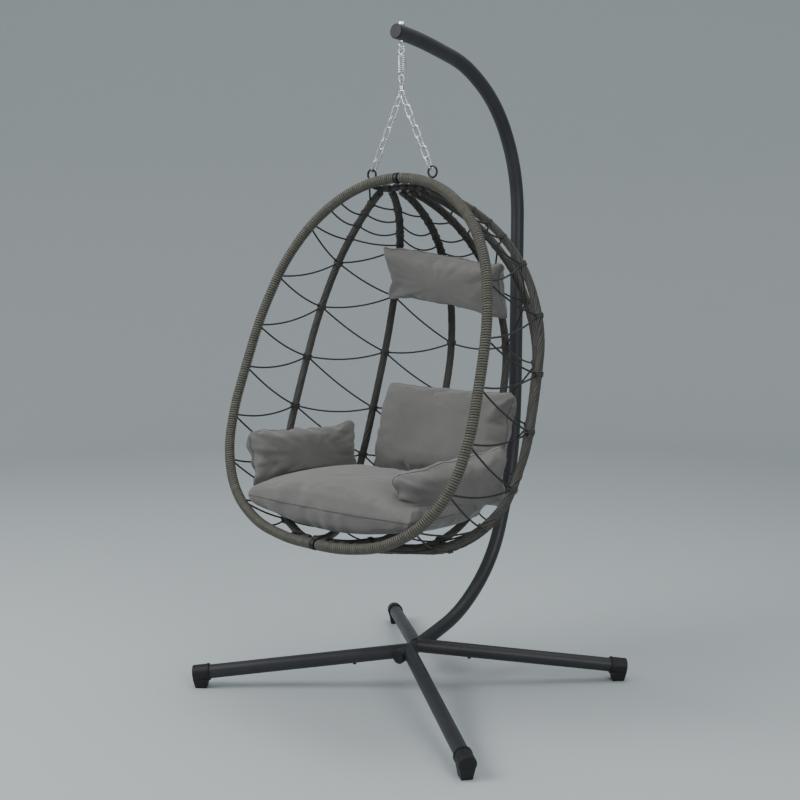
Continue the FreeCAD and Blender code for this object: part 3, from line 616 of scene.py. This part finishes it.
# ---------------------------------------------------------------- cushions
class Cushion:
    """Size and place of a cushion; its own axes are across, through and up."""

    def __init__(self, name, size, centre, turns, corner, pull, powers, cap, seed, bow=0.0, slope=0.0):
        self.name = name
        self.size = [s * MM for s in size]
        self.place = Matrix.Translation(Vector(centre) * MM)
        for angle, axis in turns:
            self.place = self.place @ Matrix.Rotation(math.radians(angle), 4, axis)
        self.corner = corner
        self.pull = pull
        self.body_power, self.edge_power = powers
        self.cap = cap * MM
        self.seed = seed
        self.bow = bow * MM
        self.slope = slope

    def outline(self, u, v):
        """Flat outline of the cut: rounded corners and sides that pull in between them."""
        width, height, _ = self.size
        x = u * math.sqrt(1 - self.corner * v * v / 2) * (1 - self.pull * (1 - v * v) * abs(u))
        z = v * math.sqrt(1 - self.corner * u * u / 2) * (1 - self.pull * (1 - u * u) * abs(v))
        return x * width / 2, z * height / 2

    def bent(self, point):
        """The flat cushion bowed to lie against the basket."""
        x, y, z = point
        u = 2 * x / self.size[0]
        return Vector((x, y + self.bow * (1 - u * u), z))

    def form(self, steps=40):
        """Crowned closed form: two faces that meet at the seam."""
        thick = self.size[2] / 2
        points, index, faces = [], {}, []
        for face in (1, -1):
            for i in range(steps + 1):
                for j in range(steps + 1):
                    u, v = 2 * i / steps - 1, 2 * j / steps - 1
                    rim = i in (0, steps) or j in (0, steps)
                    if rim and face == -1:
                        index[face, i, j] = index[1, i, j]
                        continue
                    x, z = self.outline(u, v)
                    crown = (1 - abs(u) ** self.body_power) * (1 - abs(v) ** self.body_power)
                    swell = thick * max(crown, 0.0) ** self.edge_power
                    if face == -1:
                        swell *= 1 - self.slope * (1 - v) / 2
                    index[face, i, j] = len(points)
                    points.append((x, -face * swell, z))
            for i in range(steps):
                for j in range(steps):
                    a, b = index[face, i, j], index[face, i + 1, j]
                    c, d = index[face, i + 1, j + 1], index[face, i, j + 1]
                    faces.append((a, b, c, d) if face == 1 else (d, c, b, a))
        mesh = bpy.data.meshes.new(self.name)
        mesh.from_pydata([self.bent(point) for point in points], [], faces)
        mesh.transform(self.place)
        mesh.update()
        return mesh

    def seam_line(self, surface, lift, count=360):
        """Points of the seam, laid on the finished surface."""
        points = []
        for k in range(count):
            turn = 4.0 * k / count
            edge, t = int(turn), 2 * (turn % 1) - 1
            u, v = ((t, -1), (1, t), (-t, 1), (-1, -t))[edge]
            x, z = self.outline(u, v)
            flat = self.place @ self.bent((x, 0, z))
            out = (self.place.to_3x3() @ Vector((x, 0, z))).normalized()
            hit, normal, _, _ = surface.ray_cast(flat + out * 0.08, -out, 0.16)
            if hit is None:
                hit, normal, _, _ = surface.find_nearest(flat)
            points.append(hit + out * lift)
        return points


def surface_of(obj):
    mesh = obj.data
    return BVHTree.FromPolygons([v.co for v in mesh.vertices], [p.vertices for p in mesh.polygons])


def remesh(piece, voxel):
    modifier = piece.modifiers.new("even", "REMESH")
    modifier.mode = "VOXEL"
    modifier.voxel_size = voxel
    bake(piece)


def bake(piece):
    """Turn the piece's modifiers into its mesh."""
    graph = bpy.context.evaluated_depsgraph_get()
    mesh = bpy.data.meshes.new_from_object(piece.evaluated_get(graph))
    piece.modifiers.clear()
    old = piece.data
    piece.data = mesh
    bpy.data.meshes.remove(old)


def stuff(piece, pressure, cap, spare):
    """Fill the cloth: it swells and creases, and no point moves further than the cap."""
    scene = bpy.context.scene
    cloth = piece.modifiers.new("stuffing", "CLOTH")
    cloth.point_cache.frame_start = 1
    cloth.point_cache.frame_end = STUFFING_FRAMES
    for name, value in CLOTH.items():
        setattr(cloth.settings, name, value)
    cloth.settings.shrink_min = -spare
    cloth.settings.use_pressure = True
    cloth.settings.uniform_pressure_force = pressure
    cloth.settings.effector_weights.gravity = 0
    cloth.collision_settings.use_collision = False
    start = [v.co.copy() for v in piece.data.vertices]
    for number in range(1, STUFFING_FRAMES + 1):
        scene.frame_set(number)
    graph = bpy.context.evaluated_depsgraph_get()
    swollen = [v.co.copy() for v in piece.evaluated_get(graph).data.vertices]
    piece.modifiers.clear()
    scene.frame_set(1)
    for vertex, before, after in zip(piece.data.vertices, start, swollen):
        step = after - before
        if step.length > cap:
            step *= cap / step.length
        vertex.co = before + step
    piece.data.update()


def crease(piece, cushion, folds, depth, reach):
    """Gathers along the seam, folds that fan out from the corners, and a few long creases."""
    width, height, _ = cushion.size
    inward = cushion.place.inverted()
    normals = [v.normal.copy() for v in piece.data.vertices]
    for vertex, normal in zip(piece.data.vertices, normals):
        x, y, z = inward @ vertex.co
        u, v = 2 * x / width, 2 * z / height
        edge = max(abs(u), abs(v))
        distance = (1 - edge) * min(width, height) / 2
        angle = math.atan2(v, u)
        face = 0.0 if y < 0 else 7.0
        spot = Vector((math.cos(angle) * folds, math.sin(angle) * folds, cushion.seed + face))
        gather = noise.noise(spot) * math.exp(-(max(distance, 0.0) / reach) ** 2)
        long_spot = Vector((x * 5 + z * 9, (z * 5 - x * 3) * 0.5, cushion.seed + face))
        ridge = max(1 - abs(noise.noise(long_spot)) * 3.2, 0.0) ** 3
        patch = max(noise.noise(long_spot * 0.6 + Vector((4, 2, 0))) + 0.25, 0.0)
        fan = corner_folds(cushion, x, z, face)
        vertex.co += normal * (depth * (gather + fan - ridge * patch * 1.3))
    piece.data.update()


def corner_folds(cushion, x, z, face):
    """Folds that spread from each corner, strongest a little way in."""
    width, height, _ = cushion.size
    total = 0.0
    for number, (a, b) in enumerate(((-1, -1), (1, -1), (1, 1), (-1, 1))):
        dx, dz = a * width * 0.5 - x, b * height * 0.5 - z
        far = math.hypot(dx, dz)
        if far > CORNER_REACH:
            continue
        turn = math.atan2(dz, dx)
        count = 4.5 + 1.5 * math.sin(cushion.seed + number * 2.3)
        wave = noise.noise(Vector((math.cos(turn) * count, math.sin(turn) * count,
                                   cushion.seed * 1.3 + number * 5 + face)))
        total += wave * 1.6 * min(far / 0.04, 1.0) * math.exp(-(far / 0.12) ** 2)
    return total


def touched(point, surface, reach, gap):
    """Nearest place and its outward direction where a point is in or too near a surface, or None."""
    hit, normal, _, distance = surface.find_nearest(point, reach)
    if hit is not None and (distance < gap or (point - hit).dot(normal) < 0):
        return hit, normal
    return None


def draw_in(piece, own, members, gap):
    """Where the cloth meets a rib or a cord, draw it back into the cushion's own space."""
    for vertex in piece.data.vertices:
        if any(touched(vertex.co, surface, MEMBER_REACH, gap) for surface in members):
            near, out, _, _ = own.find_nearest(vertex.co)
            vertex.co = near - out * gap
    piece.data.update()


def keep_off(piece, others, gap):
    """Move points that lie in or too near another cushion back out to the gap."""
    for vertex in piece.data.vertices:
        for surface in others:
            found = touched(vertex.co, surface, CUSHION_REACH, gap)
            if found:
                vertex.co = found[0] + found[1] * gap
    piece.data.update()


def hold_in(piece, surface, proud):
    """Bring points that stand too far out of the cushion's own space back to it."""
    for vertex in piece.data.vertices:
        hit, normal, _, distance = surface.find_nearest(vertex.co)
        if (vertex.co - hit).dot(normal) > 0 and distance > proud:
            vertex.co = hit + (vertex.co - hit) * (proud / distance)
    piece.data.update()


def relax(piece, rounds):
    """Even out the surface a little."""
    mesh = piece.data
    near = [[] for _ in mesh.vertices]
    for edge in mesh.edges:
        a, b = edge.vertices
        near[a].append(b)
        near[b].append(a)
    places = [v.co.copy() for v in mesh.vertices]
    for _ in range(rounds):
        places = [p.lerp(sum((places[k] for k in ring), Vector()) / len(ring), 0.5) if ring else p
                  for p, ring in zip(places, near)]
    for vertex, place in zip(mesh.vertices, places):
        vertex.co = place
    mesh.update()


def mark_cloth(piece, cushion):
    """Keep each point's place in the cushion's own axes for the weave."""
    inward = cushion.place.inverted()
    marks = piece.data.attributes.new("cloth", "FLOAT_VECTOR", "POINT")
    flat = []
    for vertex in piece.data.vertices:
        x, y, z = inward @ vertex.co
        flat += [x, z, y]
    marks.data.foreach_set("vector", flat)


def make_cushion(name, members, others, spare=0.03, folds=5.0, depth=5.0, reach=0.07):
    """Cut, stuff, crease and seam one cushion, in its CAD solid's space."""
    settings = bpy.context.scene.chair_cushions
    cushion = Cushion(name, **CUSHIONS[name])
    cloth = MATERIALS["fabric"]
    piece = new_piece(name + "_cloth", cushion.form(), cloth)
    own = surface_of(NODES[name])
    remesh(piece, settings.cloth_voxel)
    hold_in(piece, own, CUT_PROUD)
    remesh(piece, settings.cloth_voxel)
    stuff(piece, settings.pressure, cushion.cap, spare)
    crease(piece, cushion, folds, depth * MM, reach)
    hold_in(piece, own, FOLD_PROUD)
    keep_off(piece, others, CUSHION_GAP)
    draw_in(piece, own, members, MEMBER_GAP)
    relax(piece, 2)
    subdivide = piece.modifiers.new("finer", "SUBSURF")
    subdivide.levels = 1
    bake(piece)
    keep_off(piece, others, FINAL_GAP)
    draw_in(piece, own, members, FINAL_GAP)
    mark_cloth(piece, cushion)
    for polygon in piece.data.polygons:
        polygon.use_smooth = True
    piece.data.materials.clear()
    piece.data.materials.append(cloth)
    seam = Strands()
    line = cushion.seam_line(surface_of(piece), settings.seam_radius * 0.2)
    closed = line + line[:2]
    across = (cushion.place.to_3x3() @ Vector((0, 1, 0))).normalized()
    path = Path(closed, across)
    seam.tube(path, 0.0, path.reach[len(line)], settings.seam_radius, sides=6, step=0.005)
    settle(seam.piece(name + "_seam", MATERIALS["thread"]), "basket")
    settle(piece, "basket", [name])
    return piece


# Size, centre, turns, corner rounding, pull of the sides, powers of the crown, cap on the stuffing's
# movement and seed of the folds; then how far it bows backwards and how much its top falls to the rear.
CUSHIONS = {
    "seat_cushion": dict(
        size=(668, 438, 146), centre=(0, -224 + SHIFT_Y, 621), turns=[(90, "X")],
        corner=0.30, pull=0.0, powers=(4.2, 0.34), cap=8, seed=3.0, slope=0.34),
    "back_cushion": dict(
        size=(514, 312, 118), centre=(0, 112 + SHIFT_Y, 769), turns=[(-17, "X")],
        corner=0.20, pull=0.02, powers=(2.6, 0.48), cap=16, seed=11.0, bow=10),
    "head_cushion": dict(
        size=(456, 194, 82), centre=(8, 109 + SHIFT_Y, 1226), turns=[(20, "X"), (7.5, "Y")],
        corner=0.05, pull=0.05, powers=(2.3, 0.55), cap=12, seed=23.0, bow=14),
    "arm_cushion_left": dict(
        size=(408, 196, 88), centre=(-322, -152 + SHIFT_Y, 702), turns=[(79, "Z"), (-8, "X")],
        corner=0.08, pull=0.06, powers=(2.3, 0.52), cap=14, seed=31.0, bow=8),
    "arm_cushion_right": dict(
        size=(392, 192, 90), centre=(281, -209 + SHIFT_Y, 676), turns=[(72, "Z"), (8, "X"), (-8, "Y")],
        corner=0.08, pull=0.07, powers=(2.3, 0.52), cap=14, seed=37.0, bow=8),
}


def basket_surfaces():
    names = nodes_starting("rib_wrap", "ring_wrap", "lacing", "crown_bar", "keel_bar", "ring_collar")
    return [surface_of(NODES[name]) for name in names]


# ---------------------------------------------------------------- operators
MATERIALS = {}
BUILT = {}


class CHAIR_OT_stand_finish(bpy.types.Operator):
    """Powder coat the stand and finish its plugs, bolts and feet"""

    bl_idname = "chair.stand_finish"
    bl_label = "Finish Stand"

    def execute(self, context):
        metal = context.scene.chair_metal
        tubes = nodes_starting("mast_lower", "mast_upper", "leg_front", "leg_rear")
        dress(tubes, powder_coat(metal.coat_colour))
        plugs = nodes_starting("foot", "hub_end", "mast_tip")
        dress(plugs, moulded_plastic("foot_plastic", metal.plastic_colour))
        MATERIALS["black_steel"] = black_steel(metal.steel_colour)
        dress(nodes_starting("leg_bolts", "leg_nuts", "mast_joint"), MATERIALS["black_steel"])
        return {"FINISHED"}


class CHAIR_OT_hook_line_finish(bpy.types.Operator):
    """Plate the eye bolt, spring, swivel and chains, and blacken the basket's steel"""

    bl_idname = "chair.hook_line_finish"
    bl_label = "Finish Hook Line"

    def execute(self, context):
        metal = context.scene.chair_metal
        dress(nodes_starting("eye_bolt", "spring", "swivel", "chain"), bright_zinc(metal.zinc_colour))
        dress(nodes_starting("eyelet", "crown_bar", "keel_bar"), MATERIALS["black_steel"])
        dress(nodes_starting("ring_core", "rib_core", "ring_spigots"), bare_steel())
        dress(nodes_starting("ring_collar"), moulded_plastic("collar_plastic", metal.plastic_colour))
        return {"FINISHED"}


class CHAIR_OT_ring_winding(bpy.types.Operator):
    """Wind the flat strand round both halves of the ring"""

    bl_idname = "chair.ring_winding"
    bl_label = "Wind Ring"

    def execute(self, context):
        settings = context.scene.chair_rattan
        material = rattan("ring_rattan", settings.ring_colour)
        for side_name, side in SIDES:
            path = ring_path(side)
            strands = Strands()
            self.wind(strands, path, settings.ring_pitch, 17.0 * side)
            piece = strands.piece("ring_winding_" + side_name, material)
            settle(piece, "basket", ["ring_wrap_" + side_name])
        return {"FINISHED"}

    def wind(self, strands, path, pitch, seed, around=26):
        """One flat strand, domed across, that winds from collar to collar."""
        start = COLLAR_HALF * MM + pitch * 0.5
        end = path.length - start
        steps = int((end - start) / pitch * around)
        top = RING_R * MM
        low = (RING_CORE_R + 0.4) * MM
        rings, marks = [], []
        for i in range(steps + 1):
            reach = start + (end - start) * i / steps
            turn = (reach - start) / pitch
            angle = 2 * math.pi * turn
            point, way, side, other = path.at(reach)
            out = side * math.cos(angle) + other * math.sin(angle)
            wander = noise.noise(Vector((turn * 0.9, seed, 0.0)))
            width = pitch * (0.465 + 0.03 * wander)
            lift = top - 0.00035 * (0.5 + 0.5 * noise.noise(Vector((turn * 0.37, 4.0, seed))))
            lean = 0.00025 * noise.noise(Vector((turn * 0.6, 9.0, seed)))
            ring, mark = [], []
            for across, height in STRAND_PROFILE:
                ring.append(point + way * (across * width) + out * (lift + height + lean * across))
                mark.append((reach * 12, across, 0.5 + 0.5 * noise.noise(Vector((turn * 0.5, 2.0, seed)))))
            # The two low points down in the groove between turns get a tone of 0.2: painted shade in the
            # grooves.
            for across in (0.9, -0.9):
                ring.append(point + way * (across * width) + out * low)
                mark.append((reach * 12, across, 0.2))
            rings.append(ring)
            marks.append(mark)
        strands.sweep(rings, marks)


class CHAIR_OT_rib_winding(bpy.types.Operator):
    """Lay twisted strands round the six ribs and lash their ends to the bars"""

    bl_idname = "chair.rib_winding"
    bl_label = "Wind Ribs"

    def execute(self, context):
        settings = context.scene.chair_rattan
        material = rattan("rib_rattan", settings.rib_colour, grain=1.3)
        MATERIALS["rib_rattan"] = material
        for name in RIBS:
            for side_name, side in SIDES:
                path = rib_path(side, name)
                strands = Strands()
                self.lay(strands, path, settings, hash_seed(name, side))
                piece = strands.piece("rib_winding_%s_%s" % (name, side_name), material)
                settle(piece, "basket", ["rib_wrap_%s_%s" % (name, side_name)])
        self.lash(CROWN_UP, "crown_lashings", material, settings)
        self.lash(KEEL_UP, "keel_lashings", material, settings)
        return {"FINISHED"}

    def lash(self, up, name, material, settings):
        """Turns of cord that lash the rib ends to a short bar."""
        path = bar_path(up)
        middle = path.length / 2
        wire = settings.cord_radius * 0.85
        strands = Strands()
        for _, _, end_x in RIBS.values():
            for side in (-1, 1):
                for step in (-LASH_OFFSET, LASH_OFFSET):
                    reach = middle + (side * end_x + step) * MM
                    if BAR_END * MM < reach < path.length - BAR_END * MM:
                        strands.coil(path, reach, BAR_R * MM + wire * 0.8, wire, LASH_TURNS, wire * 2.1,
                                     phase=end_x + step, shade=0.4)
        settle(strands.piece(name, material), "basket")

    def lay(self, strands, path, settings, seed):
        count = settings.rib_strands
        wire = RIB_STRAND_R
        centre = RIB_R * MM - wire
        start, end = RIB_END, path.length - RIB_END
        for k in range(count):
            line = []
            steps = int((end - start) / 0.007)
            for i in range(steps + 1):
                reach = start + (end - start) * i / steps
                sway = noise.noise(Vector((reach * 9, k * 3.1, seed)))
                angle = 2 * math.pi * (k / count + reach / settings.rib_lay) + 0.28 * sway
                point, way, side, other = path.at(reach)
                drop = 0.0007 * noise.noise(Vector((reach * 14, k * 5.3, seed + 2)))
                out = side * math.cos(angle) + other * math.sin(angle)
                line.append(point + out * (centre - abs(drop)))
            strand = Path(line, path.at(start)[2])
            tone = 0.5 + 0.5 * noise.noise(Vector((k * 1.7, seed, 0.3)))
            strands.tube(strand, 0.0, strand.length, wire, sides=7, step=0.008, shade=tone)


def hash_seed(name, side):
    return sum(ord(letter) for letter in name) * 0.37 + side


class CHAIR_OT_lacing(bpy.types.Operator):
    """Tie the cords to and fro between the ring and the ribs"""

    bl_idname = "chair.lacing"
    bl_label = "Tie Lacing"

    def execute(self, context):
        settings = context.scene.chair_rattan
        material = rattan("lacing_cord", settings.cord_colour, grain=0.6, gloss=0.4)
        radius = settings.cord_radius
        for side_name, side in SIDES:
            paths = {"ring": ring_path(side)}
            for name in RIBS:
                paths[name] = rib_path(side, name)
            for (first, second), crown in CROWN_ROWS.items():
                strands = Strands()
                rows = list(crown)
                rows += [(a, b, None) for a, b in zigzag(TIE_LEVELS[first], TIE_LEVELS[second])]
                for low, high, sag in rows:
                    ends = [tie_end(paths[first], low, first), tie_end(paths[second], high, second)]
                    hang(strands, ends, sag, radius)
                piece = strands.piece("lacing_cords_%s_%s" % (second, side_name), material)
                settle(piece, "basket", ["lacing_%s_%s" % (second, side_name)])
            self.knots(side_name, side, paths, settings)
        strands = Strands()
        left, right = rib_path(-1, "inner"), rib_path(1, "inner")
        for level, sag in BACK_ROWS + [(level, None) for level in TIE_LEVELS["inner"]]:
            hang(strands, [tie_end(left, level, "inner"), tie_end(right, level, "inner")], sag, radius)
        settle(strands.piece("lacing_cords_back", material), "basket", ["lacing_back"])
        return {"FINISHED"}

    def knots(self, side_name, side, paths, settings):
        """A few turns of cord round the rib at each tie."""
        levels = {name: list(TIE_LEVELS[name]) for name in RIBS}
        for (first, second), crown in CROWN_ROWS.items():
            for low, high, _ in crown:
                if first in levels:
                    levels[first].append(low)
                levels[second].append(high)
        levels["inner"] += [level for level, _ in BACK_ROWS]
        wire = settings.cord_radius * 0.82
        strands = Strands()
        for name, heights in levels.items():
            last = None
            for level in sorted(heights, reverse=True):
                reach = paths[name].reach_of_level(level)
                if last is not None and reach - last < TIE_SPACING:
                    continue
                last = reach
                tone = 0.5 + 0.5 * noise.noise(Vector((level * 0.13, side, 1.0)))
                near_crown = level > CROWN_TIES_FROM
                size = wire * (0.7 if near_crown else 1.0)
                turns = settings.knot_turns * (0.6 if near_crown else 1.0)
                strands.coil(paths[name], reach, RIB_R * MM + size * (0.1 if near_crown else 0.6), size,
                             turns, size * 2.05, phase=level * 0.7, shade=tone)
        piece = strands.piece("lacing_knots_" + side_name, MATERIALS["rib_rattan"])
        settle(piece, "basket")


def zigzag(first_levels, second_levels):
    """Level pairs of a cord that runs to and fro between two members."""
    stops = sorted([(level, 0) for level in first_levels] + [(level, 1) for level in second_levels])
    stops.reverse()
    pairs = []
    for (level, member), (next_level, next_member) in zip(stops, stops[1:]):
        if member != next_member:
            pairs.append((level, next_level) if member == 0 else (next_level, level))
    return pairs


def tie_end(path, level, member):
    """Where a cord meets a member, and how deep its end goes into the winding."""
    point = path.at(path.reach_of_level(level))[0]
    radius = RING_R if member == "ring" else RIB_R
    return point, (radius - 1.5) * MM


def hang(strands, ends, sag, radius):
    """One cord that hangs a little between two members."""
    (start, start_in), (end, end_in) = ends
    chord = end - start
    if sag is None:
        flat = math.hypot(chord.x, chord.y) / chord.length
        sag = SLACK * flat * flat * chord.length / MM
    drop = Vector((0, 0, -sag * MM))
    line = []
    for i in range(25):
        t = i / 24
        line.append(start.lerp(end, t) + drop * (4 * t * (1 - t)))
    path = Path(line, Vector((0, 0, 1)).cross(chord))
    tone = 0.5 + 0.5 * noise.noise(start * 40)
    strands.tube(path, start_in, path.length - end_in, radius, sides=9, step=0.005, plies=3, shade=tone)


class CHAIR_OT_seat_cushion(bpy.types.Operator):
    """Stuff the round seat cushion"""

    bl_idname = "chair.seat_cushion"
    bl_label = "Make Seat Cushion"

    def execute(self, context):
        settings = context.scene.chair_cushions
        MATERIALS["fabric"] = fabric(settings.fabric_colour)
        MATERIALS["thread"] = seam_thread(settings.thread_colour)
        BUILT["seat"] = make_cushion("seat_cushion", basket_surfaces(), [], folds=8.0, depth=6.0,
                                     reach=0.08)
        return {"FINISHED"}


class CHAIR_OT_back_cushions(bpy.types.Operator):
    """Stuff the back cushion and the head cushion"""

    bl_idname = "chair.back_cushions"
    bl_label = "Make Back and Head Cushions"

    def execute(self, context):
        members = basket_surfaces()
        others = [surface_of(BUILT["seat"])]
        BUILT["back"] = make_cushion("back_cushion", members, others, folds=4.5)
        make_cushion("head_cushion", members, [], spare=0.05, folds=6.0, depth=7.0)
        return {"FINISHED"}


class CHAIR_OT_arm_cushions(bpy.types.Operator):
    """Stuff the two arm cushions"""

    bl_idname = "chair.arm_cushions"
    bl_label = "Make Arm Cushions"

    def execute(self, context):
        members = basket_surfaces()
        others = [surface_of(BUILT["seat"]), surface_of(BUILT["back"])]
        for side_name, _ in SIDES:
            make_cushion("arm_cushion_" + side_name, members, others, spare=0.05, depth=10.0,
                         reach=0.08)
        return {"FINISHED"}


class CHAIR_OT_stage(bpy.types.Operator):
    """Lay the floor, set the lights and place the camera"""

    bl_idname = "chair.stage"
    bl_label = "Set Stage"

    def execute(self, context):
        settings = context.scene.chair_stage
        self.floor(settings)
        self.lights(context.scene, settings)
        self.camera(context.scene)
        return {"FINISHED"}

    def floor(self, settings):
        """Round floor that curves up into a plain wall all the way round."""
        flat, bend, wall, around = 4.6, 2.2, 3.4, 96
        profile = [(0.0, 0.0), (flat, 0.0)]
        for i in range(1, 25):
            angle = math.pi / 2 * i / 24
            profile.append((flat + bend * math.sin(angle), bend * (1 - math.cos(angle))))
        profile.append((flat + bend, bend + wall))
        points = [(0.0, 0.0, 0.0)]
        for reach, height in profile[1:]:
            for k in range(around):
                turn = 2 * math.pi * k / around
                points.append((reach * math.cos(turn), reach * math.sin(turn), height))
        faces = [(0, 1 + k, 1 + (k + 1) % around) for k in range(around)]
        for row in range(len(profile) - 2):
            low = 1 + row * around
            for k in range(around):
                n = (k + 1) % around
                faces.append((low + k, low + around + k, low + around + n, low + n))
        mesh = bpy.data.meshes.new("studio_floor")
        mesh.from_pydata(points, [], faces)
        mesh.polygons.foreach_set("use_smooth", [True] * len(faces))
        floor = bpy.data.objects.new("studio_floor", mesh)
        bpy.context.scene.collection.objects.link(floor)
        mesh.materials.append(stage_paper(settings.floor_colour))
        floor.location.z = -0.0005

    def lights(self, scene, settings):
        world = bpy.data.worlds.new("studio")
        world.use_nodes = True
        back = world.node_tree.nodes["Background"]
        back.inputs["Color"].default_value = shade(settings.sky_colour, 1.0)
        back.inputs["Strength"].default_value = settings.sky_strength
        scene.world = world
        aim = Vector(AIM)
        for name, place, size, power in (("key", (-2.2, -3.4, 3.6), 2.6, settings.key_power),
                                         ("fill", (3.6, -1.6, 2.4), 2.4, settings.fill_power),
                                         ("top", (0.3, 0.4, 4.4), 2.6, settings.fill_power)):
            lamp = bpy.data.lights.new(name, "AREA")
            lamp.shape = "DISK"
            lamp.size = size
            lamp.energy = power
            holder = bpy.data.objects.new(name, lamp)
            scene.collection.objects.link(holder)
            holder.location = place
            holder.rotation_euler = (aim - Vector(place)).to_track_quat("-Z", "Y").to_euler()

    def camera(self, scene):
        eye = bpy.data.cameras.new("camera")
        eye.lens = LENS
        eye.sensor_width = 36.0
        holder = bpy.data.objects.new("camera", eye)
        scene.collection.objects.link(holder)
        holder.location = EYE_PLACE
        holder.rotation_euler = (math.radians(EYE_TILT), 0.0, math.radians(EYE_TURN))
        scene.camera = holder


class CHAIR_PT_panel(bpy.types.Panel):
    """Everything the chair is made with"""

    bl_idname = "CHAIR_PT_panel"
    bl_label = "Egg Chair"
    bl_space_type = "VIEW_3D"
    bl_region_type = "UI"
    bl_category = "Egg Chair"

    def draw(self, context):
        layout = self.layout
        for operator in OPERATORS:
            layout.operator(operator.bl_idname)
        for group in SETTINGS:
            settings = getattr(context.scene, group)
            box = layout.box()
            for name in settings.__annotations__:
                box.prop(settings, name)


OPERATORS = (CHAIR_OT_stage, CHAIR_OT_stand_finish, CHAIR_OT_hook_line_finish, CHAIR_OT_ring_winding,
             CHAIR_OT_rib_winding, CHAIR_OT_lacing, CHAIR_OT_seat_cushion, CHAIR_OT_back_cushions,
             CHAIR_OT_arm_cushions)
SETTINGS = {"chair_rattan": RattanSettings, "chair_cushions": CushionSettings,
            "chair_metal": MetalSettings, "chair_stage": StageSettings}


CLASSES = (*SETTINGS.values(), *OPERATORS, CHAIR_PT_panel)


def register():
    for kind in CLASSES:
        bpy.utils.register_class(kind)
    for name, group in SETTINGS.items():
        setattr(bpy.types.Scene, name, PointerProperty(type=group))


def unregister():
    for name in SETTINGS:
        delattr(bpy.types.Scene, name)
    for kind in reversed(CLASSES):
        bpy.utils.unregister_class(kind)


def main():
    register()
    for operator in OPERATORS:
        group, name = operator.bl_idname.split(".")
        getattr(getattr(bpy.ops, group), name)()


if __name__ == "__main__":
    main()
